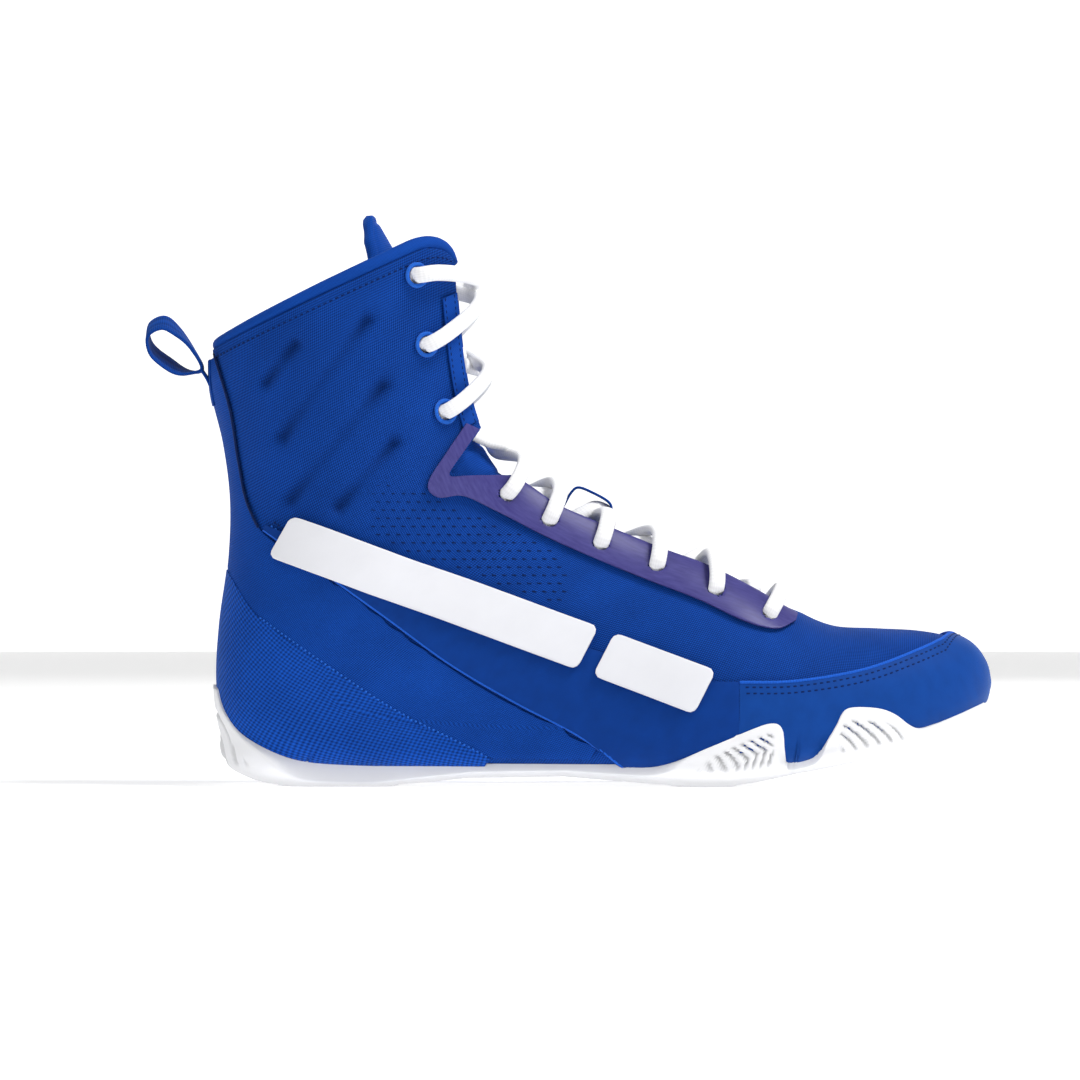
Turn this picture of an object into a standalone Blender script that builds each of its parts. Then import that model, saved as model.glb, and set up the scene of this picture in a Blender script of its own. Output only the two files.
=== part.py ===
"""High lace-up boxing boot for the right foot: toe along +X, lateral side along -Y, up +Z.

Every skin of the boot follows one base surface, the outer face of the mesh upper. The surface is a
loft over stations that run from the collar (u = 0) round the instep to the toe tip (u = 21). At each
station a straight line joins a front point on the instep and a back point on the heel or the sole,
and phi runs round the half section from the front (0) to the back (1). Layers are that surface moved
by d millimetres along its normal. Lengths are in millimetres until place() turns them into metres.
"""

import math

import bmesh
import bpy
import numpy as np
from mathutils import Matrix, Vector

MM = 0.001
FRAME_SHIFT = np.array([132.10, 1.23, 0.0])  # from the heel's back to the middle of the whole boot
LATERAL, MEDIAL = -1, 1
SIDE_NAMES = {LATERAL: "lateral", MEDIAL: "medial"}

# front x, z; back x, z; lateral and medial half widths; middle y; where it is widest, from front 0
# to back 1; roundness of the front half (along, across); squareness of the back half
STATIONS = np.array([
    (94.5, 211.0, -0.4, 166.3, 38.0, 38.0, 0.0, 0.50, 2.1, 2.2, 2.1),
    (95.0, 191.0, 0.0, 147.0, 37.0, 37.0, 0.0, 0.50, 2.1, 2.2, 2.1),
    (96.5, 171.0, 4.6, 127.0, 35.5, 35.5, 0.0, 0.50, 2.1, 2.2, 2.1),
    (99.0, 153.0, 7.2, 106.0, 34.5, 34.5, 0.0, 0.51, 2.1, 2.2, 2.1),
    (103.0, 139.5, 6.6, 84.0, 34.5, 34.5, 0.0, 0.52, 2.1, 2.2, 2.1),
    (108.0, 129.0, 3.4, 60.0, 35.5, 35.5, 0.0, 0.55, 2.1, 2.2, 2.15),
    (113.0, 121.5, 2.4, 38.0, 35.5, 35.0, 0.0, 0.60, 2.1, 2.2, 2.3),
    (118.5, 115.8, 5.6, 19.5, 34.5, 34.0, 0.0, 0.66, 2.1, 2.2, 2.6),
    (125.5, 111.3, 15.0, 9.9, 34.0, 33.0, 0.0, 0.73, 2.1, 2.2, 3.2),
    (135.0, 106.3, 32.0, 8.4, 34.0, 32.5, 0.0, 0.79, 2.1, 2.2, 4.0),
    (149.0, 99.4, 60.0, 7.4, 34.0, 31.0, 0.0, 0.81, 2.1, 2.2, 4.4),
    (166.0, 91.9, 95.0, 6.5, 34.8, 29.0, 0.0, 0.81, 2.0, 2.2, 4.4),
    (184.0, 84.4, 130.0, 6.3, 38.5, 32.5, 0.0, 0.80, 2.0, 2.2, 4.4),
    (202.0, 74.9, 163.0, 6.1, 43.5, 40.0, 0.2, 0.79, 2.0, 2.2, 4.4),
    (216.0, 65.4, 192.0, 6.4, 46.3, 45.5, 1.0, 0.78, 2.0, 2.2, 4.4),
    (230.0, 59.3, 216.0, 9.0, 46.0, 45.7, 2.2, 0.77, 2.0, 2.3, 4.2),
    (246.0, 58.2, 238.0, 13.2, 42.8, 42.8, 3.9, 0.76, 2.1, 2.4, 3.8),
    (262.0, 57.3, 258.0, 18.0, 36.8, 36.8, 5.8, 0.74, 2.2, 2.5, 3.4),
    (274.0, 55.0, 273.0, 22.9, 28.6, 28.6, 7.4, 0.70, 2.2, 2.5, 3.0),
    (281.6, 51.2, 281.2, 26.8, 20.8, 20.8, 8.6, 0.64, 2.2, 2.4, 2.6),
    (286.2, 45.0, 286.0, 31.3, 12.0, 12.0, 9.4, 0.56, 2.2, 2.2, 2.3),
    (287.9, 38.6, 287.9, 37.0, 0.0, 0.0, 10.0, 0.50, 2.2, 2.2, 2.2),
])
LAST = len(STATIONS) - 1

# layers, as distances from the base surface
MESH_THICK = 1.2
PAD_TOP, PAD_THICK = -1.8, 2.0
LINING_TOP_SHAFT, LINING_TOP_FOOT, LINING_THICK = -4.5, -3.2, 0.7
PUFF_THICK, COUNTER_THICK = 0.8, 1.4
SKIN_TOP, SKIN_THICK = 1.2, 0.6
BAND_TOP, BAND_THICK = 2.5, 0.8
BOARD_TOP, BOARD_THICK = -1.8, 1.2
SOCK_TOP, SOCK_THICK = -3.6, 3.0
LACE_RADIUS, HOLE_RADIUS = 2.0, 3.1
BINDING_RADIUS = 2.6
AGLET_LENGTH = 18.0
WEBBING_THICK = 1.5
GAP = 0.35  # between a turned or bent piece and what it touches

MATERIALS = {
    "mesh_blue": ((0.022, 0.115, 0.50), 0.75),
    "panel_blue": ((0.018, 0.095, 0.42), 0.55),
    "knit_blue": ((0.025, 0.125, 0.52), 0.85),
    "film_indigo": ((0.065, 0.055, 0.30), 0.40),
    "binding_blue": ((0.012, 0.060, 0.30), 0.70),
    "lining_blue": ((0.015, 0.070, 0.33), 0.85),
    "foam_white": ((0.80, 0.80, 0.78), 0.90),
    "rubber_white": ((0.82, 0.83, 0.85), 0.55),
    "band_white": ((0.83, 0.84, 0.87), 0.35),
    "lace_white": ((0.85, 0.85, 0.86), 0.80),
    "board_fibre": ((0.55, 0.47, 0.36), 0.90),
    "counter_plastic": ((0.30, 0.31, 0.33), 0.60),
    "aglet_clear": ((0.80, 0.82, 0.84), 0.25),
}


# ------------------------------------------------------------------ scene and materials

def clear_scene():
    for item in list(bpy.data.objects):
        bpy.data.objects.remove(item, do_unlink=True)


def collection(name):
    made = bpy.data.collections.new(name)
    bpy.context.scene.collection.children.link(made)
    return made


def material(name):
    found = bpy.data.materials.get(name)
    if found:
        return found
    colour, roughness = MATERIALS[name]
    made = bpy.data.materials.new(name)
    made.use_nodes = True
    shader = made.node_tree.nodes["Principled BSDF"]
    shader.inputs["Base Color"].default_value = (*colour, 1.0)
    shader.inputs["Roughness"].default_value = roughness
    shader.inputs["Metallic"].default_value = 0.0
    return made


def add_object(name, data, finish, group):
    made = bpy.data.objects.new(name, data)
    data.materials.append(material(finish))
    group.objects.link(made)
    return made


# ------------------------------------------------------------------ the base surface

def station_slopes():
    steps = np.diff(STATIONS, axis=0)
    return np.vstack([steps[:1], (steps[1:] + steps[:-1]) / 2, steps[-1:]])


SLOPES = station_slopes()


def station(u):
    """The station's eleven numbers at u, by a cubic through the table, straight on above u = 0."""
    u = np.asarray(u, float)
    inside = np.clip(u, 0.0, LAST)
    index = np.minimum(inside.astype(int), LAST - 1)
    f = (inside - index)[..., None]
    start, end = STATIONS[index], STATIONS[index + 1]
    value = (
        (2 * f**3 - 3 * f**2 + 1) * start
        + (f**3 - 2 * f**2 + f) * SLOPES[index]
        + (3 * f**2 - 2 * f**3) * end
        + (f**3 - f**2) * SLOPES[index + 1]
    )
    return value + np.minimum(u, 0.0)[..., None] * SLOPES[0]


def section(u, phi):
    """How far back (0 to 1) and how far out (0 to 1) the half section is at phi, with the station."""
    s = station(u)
    widest, along, across, square = s[..., 7], s[..., 8], s[..., 9], s[..., 10]
    front = np.clip(phi, 0.0, 0.5) * math.pi
    back = (np.clip(phi, 0.5, 1.0) - 0.5) * math.pi
    back_share = np.sin(back).clip(0) ** (2 / square)
    front_share = 1 - np.cos(front).clip(0) ** (2 / along)
    in_front = np.asarray(phi) < 0.5
    t = np.where(in_front, widest * front_share, widest + (1 - widest) * back_share)
    out = np.where(in_front, np.sin(front).clip(0) ** (2 / across), np.cos(back).clip(0) ** (2 / square))
    return t, out, s


def base_point(u, phi, side):
    t, out, s = section(u, phi)
    half = np.where(np.asarray(side) < 0, s[..., 4], s[..., 5])
    x = s[..., 0] + t * (s[..., 2] - s[..., 0])
    z = s[..., 1] + t * (s[..., 3] - s[..., 1])
    y = s[..., 6] + side * half * out
    return np.stack([x, y, z], -1)


def base_normal(u, phi, side):
    """The outward normal. On the front and back ridges it lies in the boot's middle plane."""
    u, phi, side = np.broadcast_arrays(np.asarray(u, float), np.asarray(phi, float), side)
    step = 2e-3
    near = np.minimum(u, LAST - 0.012)
    inner = np.clip(phi, step, 1 - step)
    along = base_point(near + step, inner, side) - base_point(near - step, inner, side)
    round_section = base_point(near, inner + step, side) - base_point(near, inner - step, side)
    normal = np.cross(along, round_section) * side[..., None]
    ridge = (phi < 1e-6) | (phi > 1 - 1e-6)
    normal[..., 1] = np.where(ridge, 0.0, normal[..., 1])
    return normal / np.linalg.norm(normal, axis=-1, keepdims=True)


def surface(u, phi, side, d):
    return base_point(u, phi, side) + base_normal(u, phi, side) * np.asarray(d)[..., None]


def place(points):
    """Millimetres from the heel's back to metres in the boot's own frame."""
    return (np.asarray(points, float) - FRAME_SHIFT) * MM


def phi_of_t(u, t):
    s = station(u)
    widest, along, square = s[7], s[8], s[10]
    if t < widest:
        return math.acos(max(0.0, 1 - t / widest) ** (along / 2)) / math.pi
    share = min(1.0, (t - widest) / (1 - widest))
    return 0.5 + math.asin(share ** (square / 2)) / math.pi


def phi_of_front_y(u, y, side):
    """phi on the front half where the surface is y millimetres from the middle."""
    s = station(u)
    half = s[4] if side < 0 else s[5]
    return math.asin(min(1.0, (y / half)) ** (s[9] / 2)) / math.pi


def phi_of_bottom_share(u, share):
    """phi on the back half where the section is this share of its half width from the middle."""
    s = station(u)
    return 0.5 + math.acos(share ** (s[10] / 2)) / math.pi


def locate(x, z):
    """(u, phi) of the place that side view shows at x, z."""
    def off_line(u):
        s = station(u).T
        return (s[2] - s[0]) * (z - s[1]) - (s[3] - s[1]) * (x - s[0])

    samples = np.linspace(0.0, LAST, 400)
    values = off_line(samples)
    for k in np.flatnonzero(values[:-1] * values[1:] <= 0):
        low, high, first = samples[k], samples[k + 1], values[k]
        for _ in range(20):
            middle = (low + high) / 2
            if off_line(middle) * first > 0:
                low = middle
            else:
                high = middle
        s = station(low)
        t = np.dot((x - s[0], z - s[1]), (s[2] - s[0], s[3] - s[1])) / np.dot(
            (s[2] - s[0], s[3] - s[1]), (s[2] - s[0], s[3] - s[1])
        )
        if -0.03 <= t <= 1.03:
            return low, phi_of_t(low, min(max(t, 0.0), 1.0))
    raise ValueError(f"no station passes through {x}, {z}")


# ------------------------------------------------------------------ outlines, in side view

SHAFT_EDGE_T = 0.052
NOTCH = ((4.35, 0.052), (5.0, 0.19), (5.5, 0.128), (6.0, 0.074), (6.4, 0.045))  # u and t
THROAT_EDGE = ((110.9, 114.6), (127.6, 103.9), (147.5, 95.2), (166.5, 87.4), (184.3, 80.8), (203.7, 70.7))
THROAT_END = 14.2
CORNER_T, CORNER_DROP = 0.21, 0.85  # the flap's rounded top corner

HEEL_SEAM = (
    (1.5, 160.0), (7.4, 140.0), (10.5, 121.0), (13.5, 106.0), (18.0, 95.5), (48.0, 74.0), (95.0, 39.5), (149.0, 11.3),
)
SOLE_TOP = (
    (3.4, 36.0), (5.5, 29.1), (10.3, 21.7), (17.8, 16.4), (31.6, 11.2), (49.8, 9.4), (81.8, 9.0), (119.2, 8.8),
    (151.2, 8.8), (163.0, 9.2), (172.8, 11.4), (187.4, 16.7), (198.0, 21.2), (206.8, 23.5), (210.2, 20.6),
    (211.0, 11.0), (219.5, 12.0), (223.4, 14.5), (229.2, 22.7), (231.8, 27.8), (245.8, 28.9), (255.5, 24.0),
    (259.3, 22.9), (265.2, 24.2), (275.0, 27.7), (284.5, 31.5),
)
SOLE_BACK_U, SOLE_FRONT_U = 6.02, 20.3  # where the sole's top edge meets the middle plane
SOLE_MARGIN = 1.1  # bare strip between the sole's edge and the panels above it
TOE_SEAM_X, TOE_LIFT = 194.5, 0.6
TOE_TOP = ((194.5, 38.3), (214.0, 38.5), (240.0, 42.5), (262.5, 50.2), (270.0, 53.3))
TOE_TOP_END = 18.1  # where the toe guard's edge crosses the middle of the vamp
OUTLINE_STEP = 12.0


def edge_line(points, back=None, front=None, ends=1.0):
    """phi as a function of u along an outline. back and front are values of u where phi is ends."""
    places = [locate(*points[0])]
    for start, end in zip(points, points[1:]):
        steps = int(math.dist(start, end) // OUTLINE_STEP) + 1
        places += [locate(*np.add(start, np.subtract(end, start) * (k + 1) / steps)) for k in range(steps)]
    places += [(u, ends) for u in (back, front) if u is not None]
    us, phis = zip(*sorted(places))
    return lambda u: float(np.interp(u, us, phis))


def lifted(points, clear):
    """Side-view points moved up and a little forward, to stay clear of the sole's edge."""
    return tuple((x + 0.3 * clear, z + clear) for x, z in points)


throat_line = edge_line(THROAT_EDGE)
heel_seam = edge_line(HEEL_SEAM)
sole_top = edge_line(SOLE_TOP, SOLE_BACK_U, SOLE_FRONT_U)
above_sole = edge_line(lifted(SOLE_TOP, SOLE_MARGIN), SOLE_BACK_U - 0.06, SOLE_FRONT_U + 0.1)
toe_top = edge_line(TOE_TOP, front=TOE_TOP_END, ends=0.0)
THROAT_LAST = locate(*THROAT_EDGE[-1])[0]


def easy_edge(u):
    """The flap's edge without the notch, closing slowly past the throat: what the columns follow."""
    shaft, first, last = phi_of_t(4.35, SHAFT_EDGE_T), throat_line(6.4), throat_line(11.5)
    return float(np.interp(u, (4.35, 6.4, 11.5, 16.0), (shaft, first, last, 0.0)))


def flap_edge(u):
    """phi of the flap's front edge, 0 where the two sides are one."""
    if u >= THROAT_END:
        return 0.0
    if u <= NOTCH[-1][0]:
        us, ts = zip(*NOTCH)
        return phi_of_t(u, float(np.interp(u, us, ts)))
    fade = np.clip((THROAT_END - u) / (THROAT_END - THROAT_LAST), 0.0, 1.0)
    return throat_line(min(u, THROAT_LAST)) * float(fade)


def top_line(u, phi):
    """u with the rows near the collar bent down round the flap's top corner."""
    if u >= 1.0 or u < 0.0:
        return np.full(len(phi), u)
    t, _, _ = section(u, phi)
    into = np.clip((CORNER_T - t) / (CORNER_T - SHAFT_EDGE_T), 0.0, 1.0)
    drop = CORNER_DROP * (1 - np.sqrt(1 - into**2 * 0.98))
    return u + drop * (1 - u)


def turned_under(u):
    """phi where the upper ends under the foot; 1 up the back of the heel."""
    return phi_of_bottom_share(u, float(np.interp(u, (7.2, 8.0, 9.0, 19.0, 20.2), (0.0, 0.5, 0.72, 0.62, 0.0))))


def easy_bottom(u):
    return float(np.interp(u, (5.5, 9.5, 19.0, 21.0), (1.0, 0.87, 0.9, 1.0)))


# ------------------------------------------------------------------ the grid that nested layers share

ROWS = (
    0.25, 0.45, 0.75, 1.3, 2.0, 2.8, 3.6, 4.35, 4.7, 5.0, 5.4, 5.9, 6.35, 6.7, 7.0, 7.4, 7.8, 8.3, 9.0, 9.8, 10.6,
    11.4, 12.2, 13.0, 13.6, 14.2, 14.8, 15.4, 16.0, 16.7, 17.5, 18.3, 19.0, 19.6, 20.2, 20.6, 21.0,
)
COLUMNS = 9
FREE_EDGE = 3  # how many columns bend to an edge
CELL_LENGTH, CELL_TURN = 9.0, 24.0  # the share of a column's width that its length and its bend in degrees take
CLOSEST_ROWS = 0.13


def spread(u, start, end, count):
    """count + 1 values of phi from start to end, closer together where the section bends."""
    phi = np.linspace(start, end, 121)
    steps = np.diff(base_point(u, phi, LATERAL), axis=0)
    lengths = np.linalg.norm(steps, axis=1)
    directions = steps / np.maximum(lengths, 1e-9)[:, None]
    turns = np.arccos(np.clip((directions[1:] * directions[:-1]).sum(1), -1, 1))
    turns = (np.append(turns, 0.0) + np.insert(turns, 0, 0.0)) / 2
    cost = np.insert(np.cumsum(lengths / CELL_LENGTH + turns / math.radians(CELL_TURN)), 0, 0.0)
    if cost[-1] < 1e-6:
        return np.full(count + 1, start)
    return np.interp(np.linspace(0, cost[-1], count + 1), cost, phi)


def upper_phis(u):
    phis = spread(u, easy_edge(u), easy_bottom(u), COLUMNS)
    share = np.arange(FREE_EDGE) / FREE_EDGE
    phis[:FREE_EDGE] = flap_edge(u) + (phis[FREE_EDGE] - flap_edge(u)) * share
    bottom = max(turned_under(u), phis[-FREE_EDGE - 1] + 0.01)
    phis[-FREE_EDGE:] = (bottom + (phis[-FREE_EDGE - 1] - bottom) * share)[::-1]
    return phis


def rows_between(low, high):
    return [u for u in ROWS if low - 1e-6 <= u <= high + 1e-6]


def columns(first, last):
    return lambda u: upper_phis(u)[first : last + 1]


def clipped(phis, low, high):
    """The columns moved into low to high. One that is nearly at an edge goes onto it."""
    phis = np.clip(phis, low, max(low, high))
    small = 0.15 * np.diff(phis).max()
    phis[phis < low + small] = low
    phis[phis > high - small] = max(low, high)
    return phis


def merged_rows(base, extra):
    """The base rows with extra ones added, and base rows that are too near an extra one left out."""
    kept = [u for u in base if all(abs(u - other) > CLOSEST_ROWS for other in extra)]
    return sorted(kept + list(extra))


# ------------------------------------------------------------------ solids from the surface

def add_grid(shape, grid, turned):
    corners = [[shape.verts.new(point) for point in row] for row in grid]
    for i in range(len(corners) - 1):
        for j in range(len(corners[i]) - 1):
            face = [corners[i][j], corners[i + 1][j], corners[i + 1][j + 1], corners[i][j + 1]]
            shape.faces.new(face[::-1] if turned else face)


def finished_mesh(name, shape):
    data = bpy.data.meshes.new(name)
    shape.to_mesh(data)
    shape.free()
    data.shade_smooth()
    return data


def mesh_from_grids(name, grids):
    """One open mesh from grids of points. Points that meet are joined, and empty faces dropped."""
    shape = bmesh.new()
    for grid, turned in grids:
        add_grid(shape, grid, turned)
    bmesh.ops.remove_doubles(shape, verts=shape.verts, dist=2e-5)
    bmesh.ops.dissolve_degenerate(shape, edges=shape.edges, dist=1e-6)
    return finished_mesh(name, shape)


def skin_points(rows, columns_at, level, side, point_at):
    """Rows of points at the distance level(u, phi) from the surface."""
    grid = []
    for u in rows:
        phi = np.asarray(columns_at(u), float)
        d = np.array([level(u, value) for value in phi])
        points = point_at(u, phi, side, d)
        ridge = (phi < 1e-6) | (phi > 1 - 1e-6)
        points[ridge, 1] = station(u)[6]
        grid.append(points)
    return np.array(grid)


def upper_point(u, phi, side, d):
    """The surface, with the flap's top corners rounded."""
    return surface(top_line(u, phi), phi, side, d)


def skin(name, finish, thickness, group, rows, columns_at, top, sides=(LATERAL, MEDIAL), point_at=upper_point):
    """A layer of even thickness whose outer face lies at the distance top from the surface."""
    def level(u, phi):
        return top(u) if callable(top) else top

    grids = [(place(skin_points(rows, columns_at, level, side, point_at)), side < 0) for side in sides]
    return thickened(name, mesh_from_grids(name, grids), finish, thickness, group)


def thickened(name, data, finish, thickness, group):
    """The open skin made solid, its thickness growing inwards."""
    made = add_object(name, data, finish, group)
    solid = made.modifiers.new("thickness", "SOLIDIFY")
    solid.thickness = thickness * MM
    solid.offset = -1.0
    return made


def loft(name, finish, group, rows, columns_at, outer, inner, flat_foot=False):
    """A closed solid between two skins under the foot, from one side's edge to the other's."""
    outside, inside = (under_foot(rows, columns_at, level) for level in (outer, inner))
    if flat_foot:
        outside[..., 2] = np.where(outside[..., 2] < FOOT_TREAD, 0.0, outside[..., 2])
    outside, inside = place(outside), place(inside)
    shape = bmesh.new()
    add_grid(shape, outside, turned=True)
    add_grid(shape, inside, turned=False)
    for edge in rim(outside.shape[:2]):
        add_grid(shape, [[outside[at] for at in edge], [inside[at] for at in edge]], turned=False)
    bmesh.ops.remove_doubles(shape, verts=shape.verts, dist=2e-5)
    bmesh.ops.dissolve_degenerate(shape, edges=shape.edges, dist=1e-6)
    bmesh.ops.recalc_face_normals(shape, faces=shape.faces)
    return add_object(name, finished_mesh(name, shape), finish, group)


def under_foot(rows, columns_at, level):
    """Points from the lateral edge under the foot to the medial edge."""
    lateral, medial = (skin_points(rows, columns_at, level, side, surface) for side in (LATERAL, MEDIAL))
    return np.concatenate([lateral, medial[:, -2::-1]], axis=1)


def rim(size):
    """The grid's four edges, head to tail."""
    rows, across = size
    return (
        [(i, 0) for i in range(rows)],
        [(rows - 1, j) for j in range(across)],
        [(i, across - 1) for i in range(rows - 1, -1, -1)],
        [(0, j) for j in range(across - 1, -1, -1)],
    )


def patch(name, finish, pairs, top, thickness, side, group, across=3, longest=11.0):
    """A thin piece laid on the boot. pairs are side-view points on its two long edges, joined in turn."""
    grid = []
    for low, high in zip(pairs, pairs[1:]):
        low, high = np.array(low, float), np.array(high, float)
        steps = int(math.ceil(np.linalg.norm(high - low, axis=1).max() / longest))
        grid += [low + (high - low) * k / steps for k in range(steps)]
    grid.append(np.array(pairs[-1], float))
    rows = []
    for first, second in grid:
        places = [locate(*(first + (second - first) * k / across)) for k in range(across + 1)]
        us, phis = np.array(places).T
        rows.append(place(surface(us, phis, side, np.full(len(us), top))))
    return thickened(name, mesh_from_grids(name, [(rows, side > 0)]), finish, thickness, group)


# ------------------------------------------------------------------ strips, tubes and smooth lines

def smooth_line(points, closed=False, steps=12):
    """A dense curve through the points (centripetal Catmull-Rom)."""
    points = np.asarray(points, float)
    if closed:
        padded = np.vstack([points[-1], points, points[:2]])
    else:
        padded = np.vstack([2 * points[0] - points[1], points, 2 * points[-1] - points[-2]])
    line = []
    for a, b, c, d in zip(padded, padded[1:], padded[2:], padded[3:]):
        ta = math.sqrt(np.linalg.norm(b - a))
        tb = ta + math.sqrt(np.linalg.norm(c - b))
        tc = tb + math.sqrt(np.linalg.norm(d - c))
        for k in range(steps):
            t = ta + (tb - ta) * k / steps
            ab = a + (b - a) * t / ta
            bc = b + (c - b) * (t - ta) / (tb - ta)
            cd = c + (d - c) * (t - tb) / (tc - tb)
            low = ab + (bc - ab) * t / tb
            high = bc + (cd - bc) * (t - ta) / (tc - ta)
            line.append(low + (high - low) * (t - ta) / (tb - ta))
    if not closed:
        line.append(points[-1])
    return np.array(line)


def thinned(line, longest, sharpest):
    """The line with as few points as keep each step under longest and each turn under sharpest."""
    steps = np.diff(line, axis=0)
    lengths = np.linalg.norm(steps, axis=1)
    directions = steps / lengths[:, None]
    turns = np.arccos(np.clip((directions[1:] * directions[:-1]).sum(1), -1, 1))
    turns = (np.append(turns, 0.0) + np.insert(turns, 0, 0.0)) / 2
    cost = np.insert(np.cumsum(lengths / longest + turns / math.radians(sharpest)), 0, 0.0)
    marks = np.linspace(0, cost[-1], int(math.ceil(cost[-1])) + 1)
    return np.stack([np.interp(marks, cost, line[:, axis]) for axis in range(3)], 1)


def tube(name, finish, points, radius, group, resolution=2):
    """A round tube with filled ends through points given in millimetres."""
    data = bpy.data.curves.new(name, "CURVE")
    data.dimensions = "3D"
    data.bevel_depth = radius * MM
    data.bevel_resolution = resolution
    data.use_fill_caps = True
    spline = data.splines.new("POLY")
    spline.points.add(len(points) - 1)
    for target, point in zip(spline.points, place(points)):
        target.co = (*point, 1.0)
    return add_object(name, data, finish, group)


def strap(name, finish, outline, width, group, hinge=(0.0, 0.0)):
    """Webbing whose side view is the closed outlines given, as wide as width, its origin at hinge."""
    data = bpy.data.curves.new(name, "CURVE")
    data.dimensions = "2D"
    data.fill_mode = "BOTH"
    data.extrude = width / 2 * MM
    for points in outline:
        spline = data.splines.new("POLY")
        spline.use_cyclic_u = True
        spline.points.add(len(points) - 1)
        for target, (x, z) in zip(spline.points, points):
            target.co = ((x - hinge[0]) * MM, (z - hinge[1]) * MM, 0.0, 1.0)
    made = add_object(name, data, finish, group)
    made.rotation_euler = (math.pi / 2, 0.0, 0.0)
    made.location = place((hinge[0], 0.0, hinge[1]))
    return made


def beside(line, distance, closed):
    """The plane line moved sideways by distance."""
    if closed:
        along = np.roll(line, -1, axis=0) - np.roll(line, 1, axis=0)
    else:
        along = np.gradient(line, axis=0)
    along = along / np.linalg.norm(along, axis=1)[:, None]
    return line + np.stack([-along[:, 1], along[:, 0]], 1) * distance


# ------------------------------------------------------------------ eyelets

EYELETS = (
    (75.7, 188.5), (79.3, 163.0), (86.2, 138.3), (108.6, 107.7), (124.6, 98.0), (143.6, 89.2), (164.4, 81.0),
    (186.0, 72.0), (205.5, 63.0),
)
SHAFT_EYELETS = 3
RING_RADIUS, RING_THICK, RING_LIFT = 4.0, 0.65, 0.55


def facing_out(u, phi, side, d):
    """Placement of a round piece whose axis is the surface's normal."""
    at = place(surface(u, phi, side, np.array(d)))
    turn = Vector(base_normal(u, phi, side)).to_track_quat("Z", "Y").to_matrix().to_4x4()
    return Matrix.Translation(Vector(at)) @ turn


def hole_punches(group):
    """All the lace holes as one mesh of separate round punches."""
    shape = bmesh.new()
    for side in (LATERAL, MEDIAL):
        for x, z in EYELETS:
            bmesh.ops.create_cone(
                shape, cap_ends=True, segments=8, radius1=HOLE_RADIUS * MM, radius2=HOLE_RADIUS * MM,
                depth=12 * MM, matrix=facing_out(*locate(x, z), side, 0.0),
            )
    made = bpy.data.objects.new("lace_hole_punches", finished_mesh("lace_hole_punches", shape))
    made.hide_render = True
    made.display_type = "WIRE"
    group.objects.link(made)
    return made


def punch(target, cutter):
    cut = target.modifiers.new("lace_holes", "BOOLEAN")
    cut.operation = "DIFFERENCE"
    cut.solver = "EXACT"
    cut.object = cutter


def eyelet_rings(group):
    """The stitched rings round the shaft's lace holes."""
    for side in (LATERAL, MEDIAL):
        for k, (x, z) in enumerate(EYELETS[:SHAFT_EYELETS]):
            bpy.ops.mesh.primitive_torus_add(
                major_segments=10,
                minor_segments=4,
                major_radius=RING_RADIUS * MM,
                minor_radius=RING_THICK * MM,
            )
            made = bpy.context.object
            made.name = f"eyelet_{k + 1}_{SIDE_NAMES[side]}"
            made.matrix_world = facing_out(*locate(x, z), side, RING_THICK + RING_LIFT)
            made.data.materials.append(material("binding_blue"))
            made.data.shade_smooth()
            for owner in list(made.users_collection):
                owner.objects.unlink(made)
            group.objects.link(made)


# ------------------------------------------------------------------ the upper

def upper(group, cutter):
    punch(skin("mesh_upper", "mesh_blue", MESH_THICK, group, ROWS, upper_phis, 0.0), cutter)


def padding(group):
    for side in (LATERAL, MEDIAL):
        name = f"shaft_pad_{SIDE_NAMES[side]}"
        skin(name, "foam_white", PAD_THICK, group, rows_between(0.75, 5.4), pad_phis, PAD_TOP, (side,))
    skin("achilles_pad", "foam_white", PAD_THICK, group, rows_between(0.75, 4.35), heel_phis, PAD_TOP)
    skin("heel_counter", "counter_plastic", COUNTER_THICK, group, rows_between(4.7, 7.4), columns(6, 9), PAD_TOP)
    skin("toe_puff", "counter_plastic", PUFF_THICK, group, rows_between(18.3, 20.6), columns(0, 6), PAD_TOP)


def pad_phis(u):
    phis = upper_phis(u)
    return [*phis[3:6], phis[5] + 0.75 * (phis[6] - phis[5])]


def heel_phis(u):
    phis = upper_phis(u)
    return [phis[6] + 0.25 * (phis[7] - phis[6]), *phis[7:]]


def lining(group):
    def top(u):
        return float(np.interp(u, (6.5, 9.0), (LINING_TOP_SHAFT, LINING_TOP_FOOT)))

    skin("lining", "lining_blue", LINING_THICK, group, rows_between(0.45, 20.2), lining_phis, top)


def lining_phis(u):
    """From behind the eyelets, and from the middle past the throat, down to the feather edge."""
    phis = upper_phis(u)
    closing = float(np.clip((u - 14.2) / 0.6, 0.0, 1.0))
    front = phis[3] * (1 - closing) + phis[0] * closing
    second = phis[4] * (1 - closing) + phis[2] * closing
    share = float(np.interp(u, (6.6, 7.6, 9.0, 19.0, 20.4), (0.0, 0.72, 0.93, 0.9, 0.6)))
    last = max(phi_of_bottom_share(u, share), phis[6] + 0.03)
    return [front, second, phis[5], *np.linspace(phis[6], last, 4)]


def facings(group):
    """The stitched strips down the front edges of the shaft."""
    def strip(u):
        return [phi_of_t(u, t) for t in (0.058, 0.085, 0.118)]

    for side in (LATERAL, MEDIAL):
        name = f"shaft_facing_{SIDE_NAMES[side]}"
        skin(name, "binding_blue", SKIN_THICK, group, rows_between(1.3, 3.6), strip, SKIN_TOP, (side,))


SHAFT_AXIS = (40.0, 0.0, 0.0)


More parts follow.
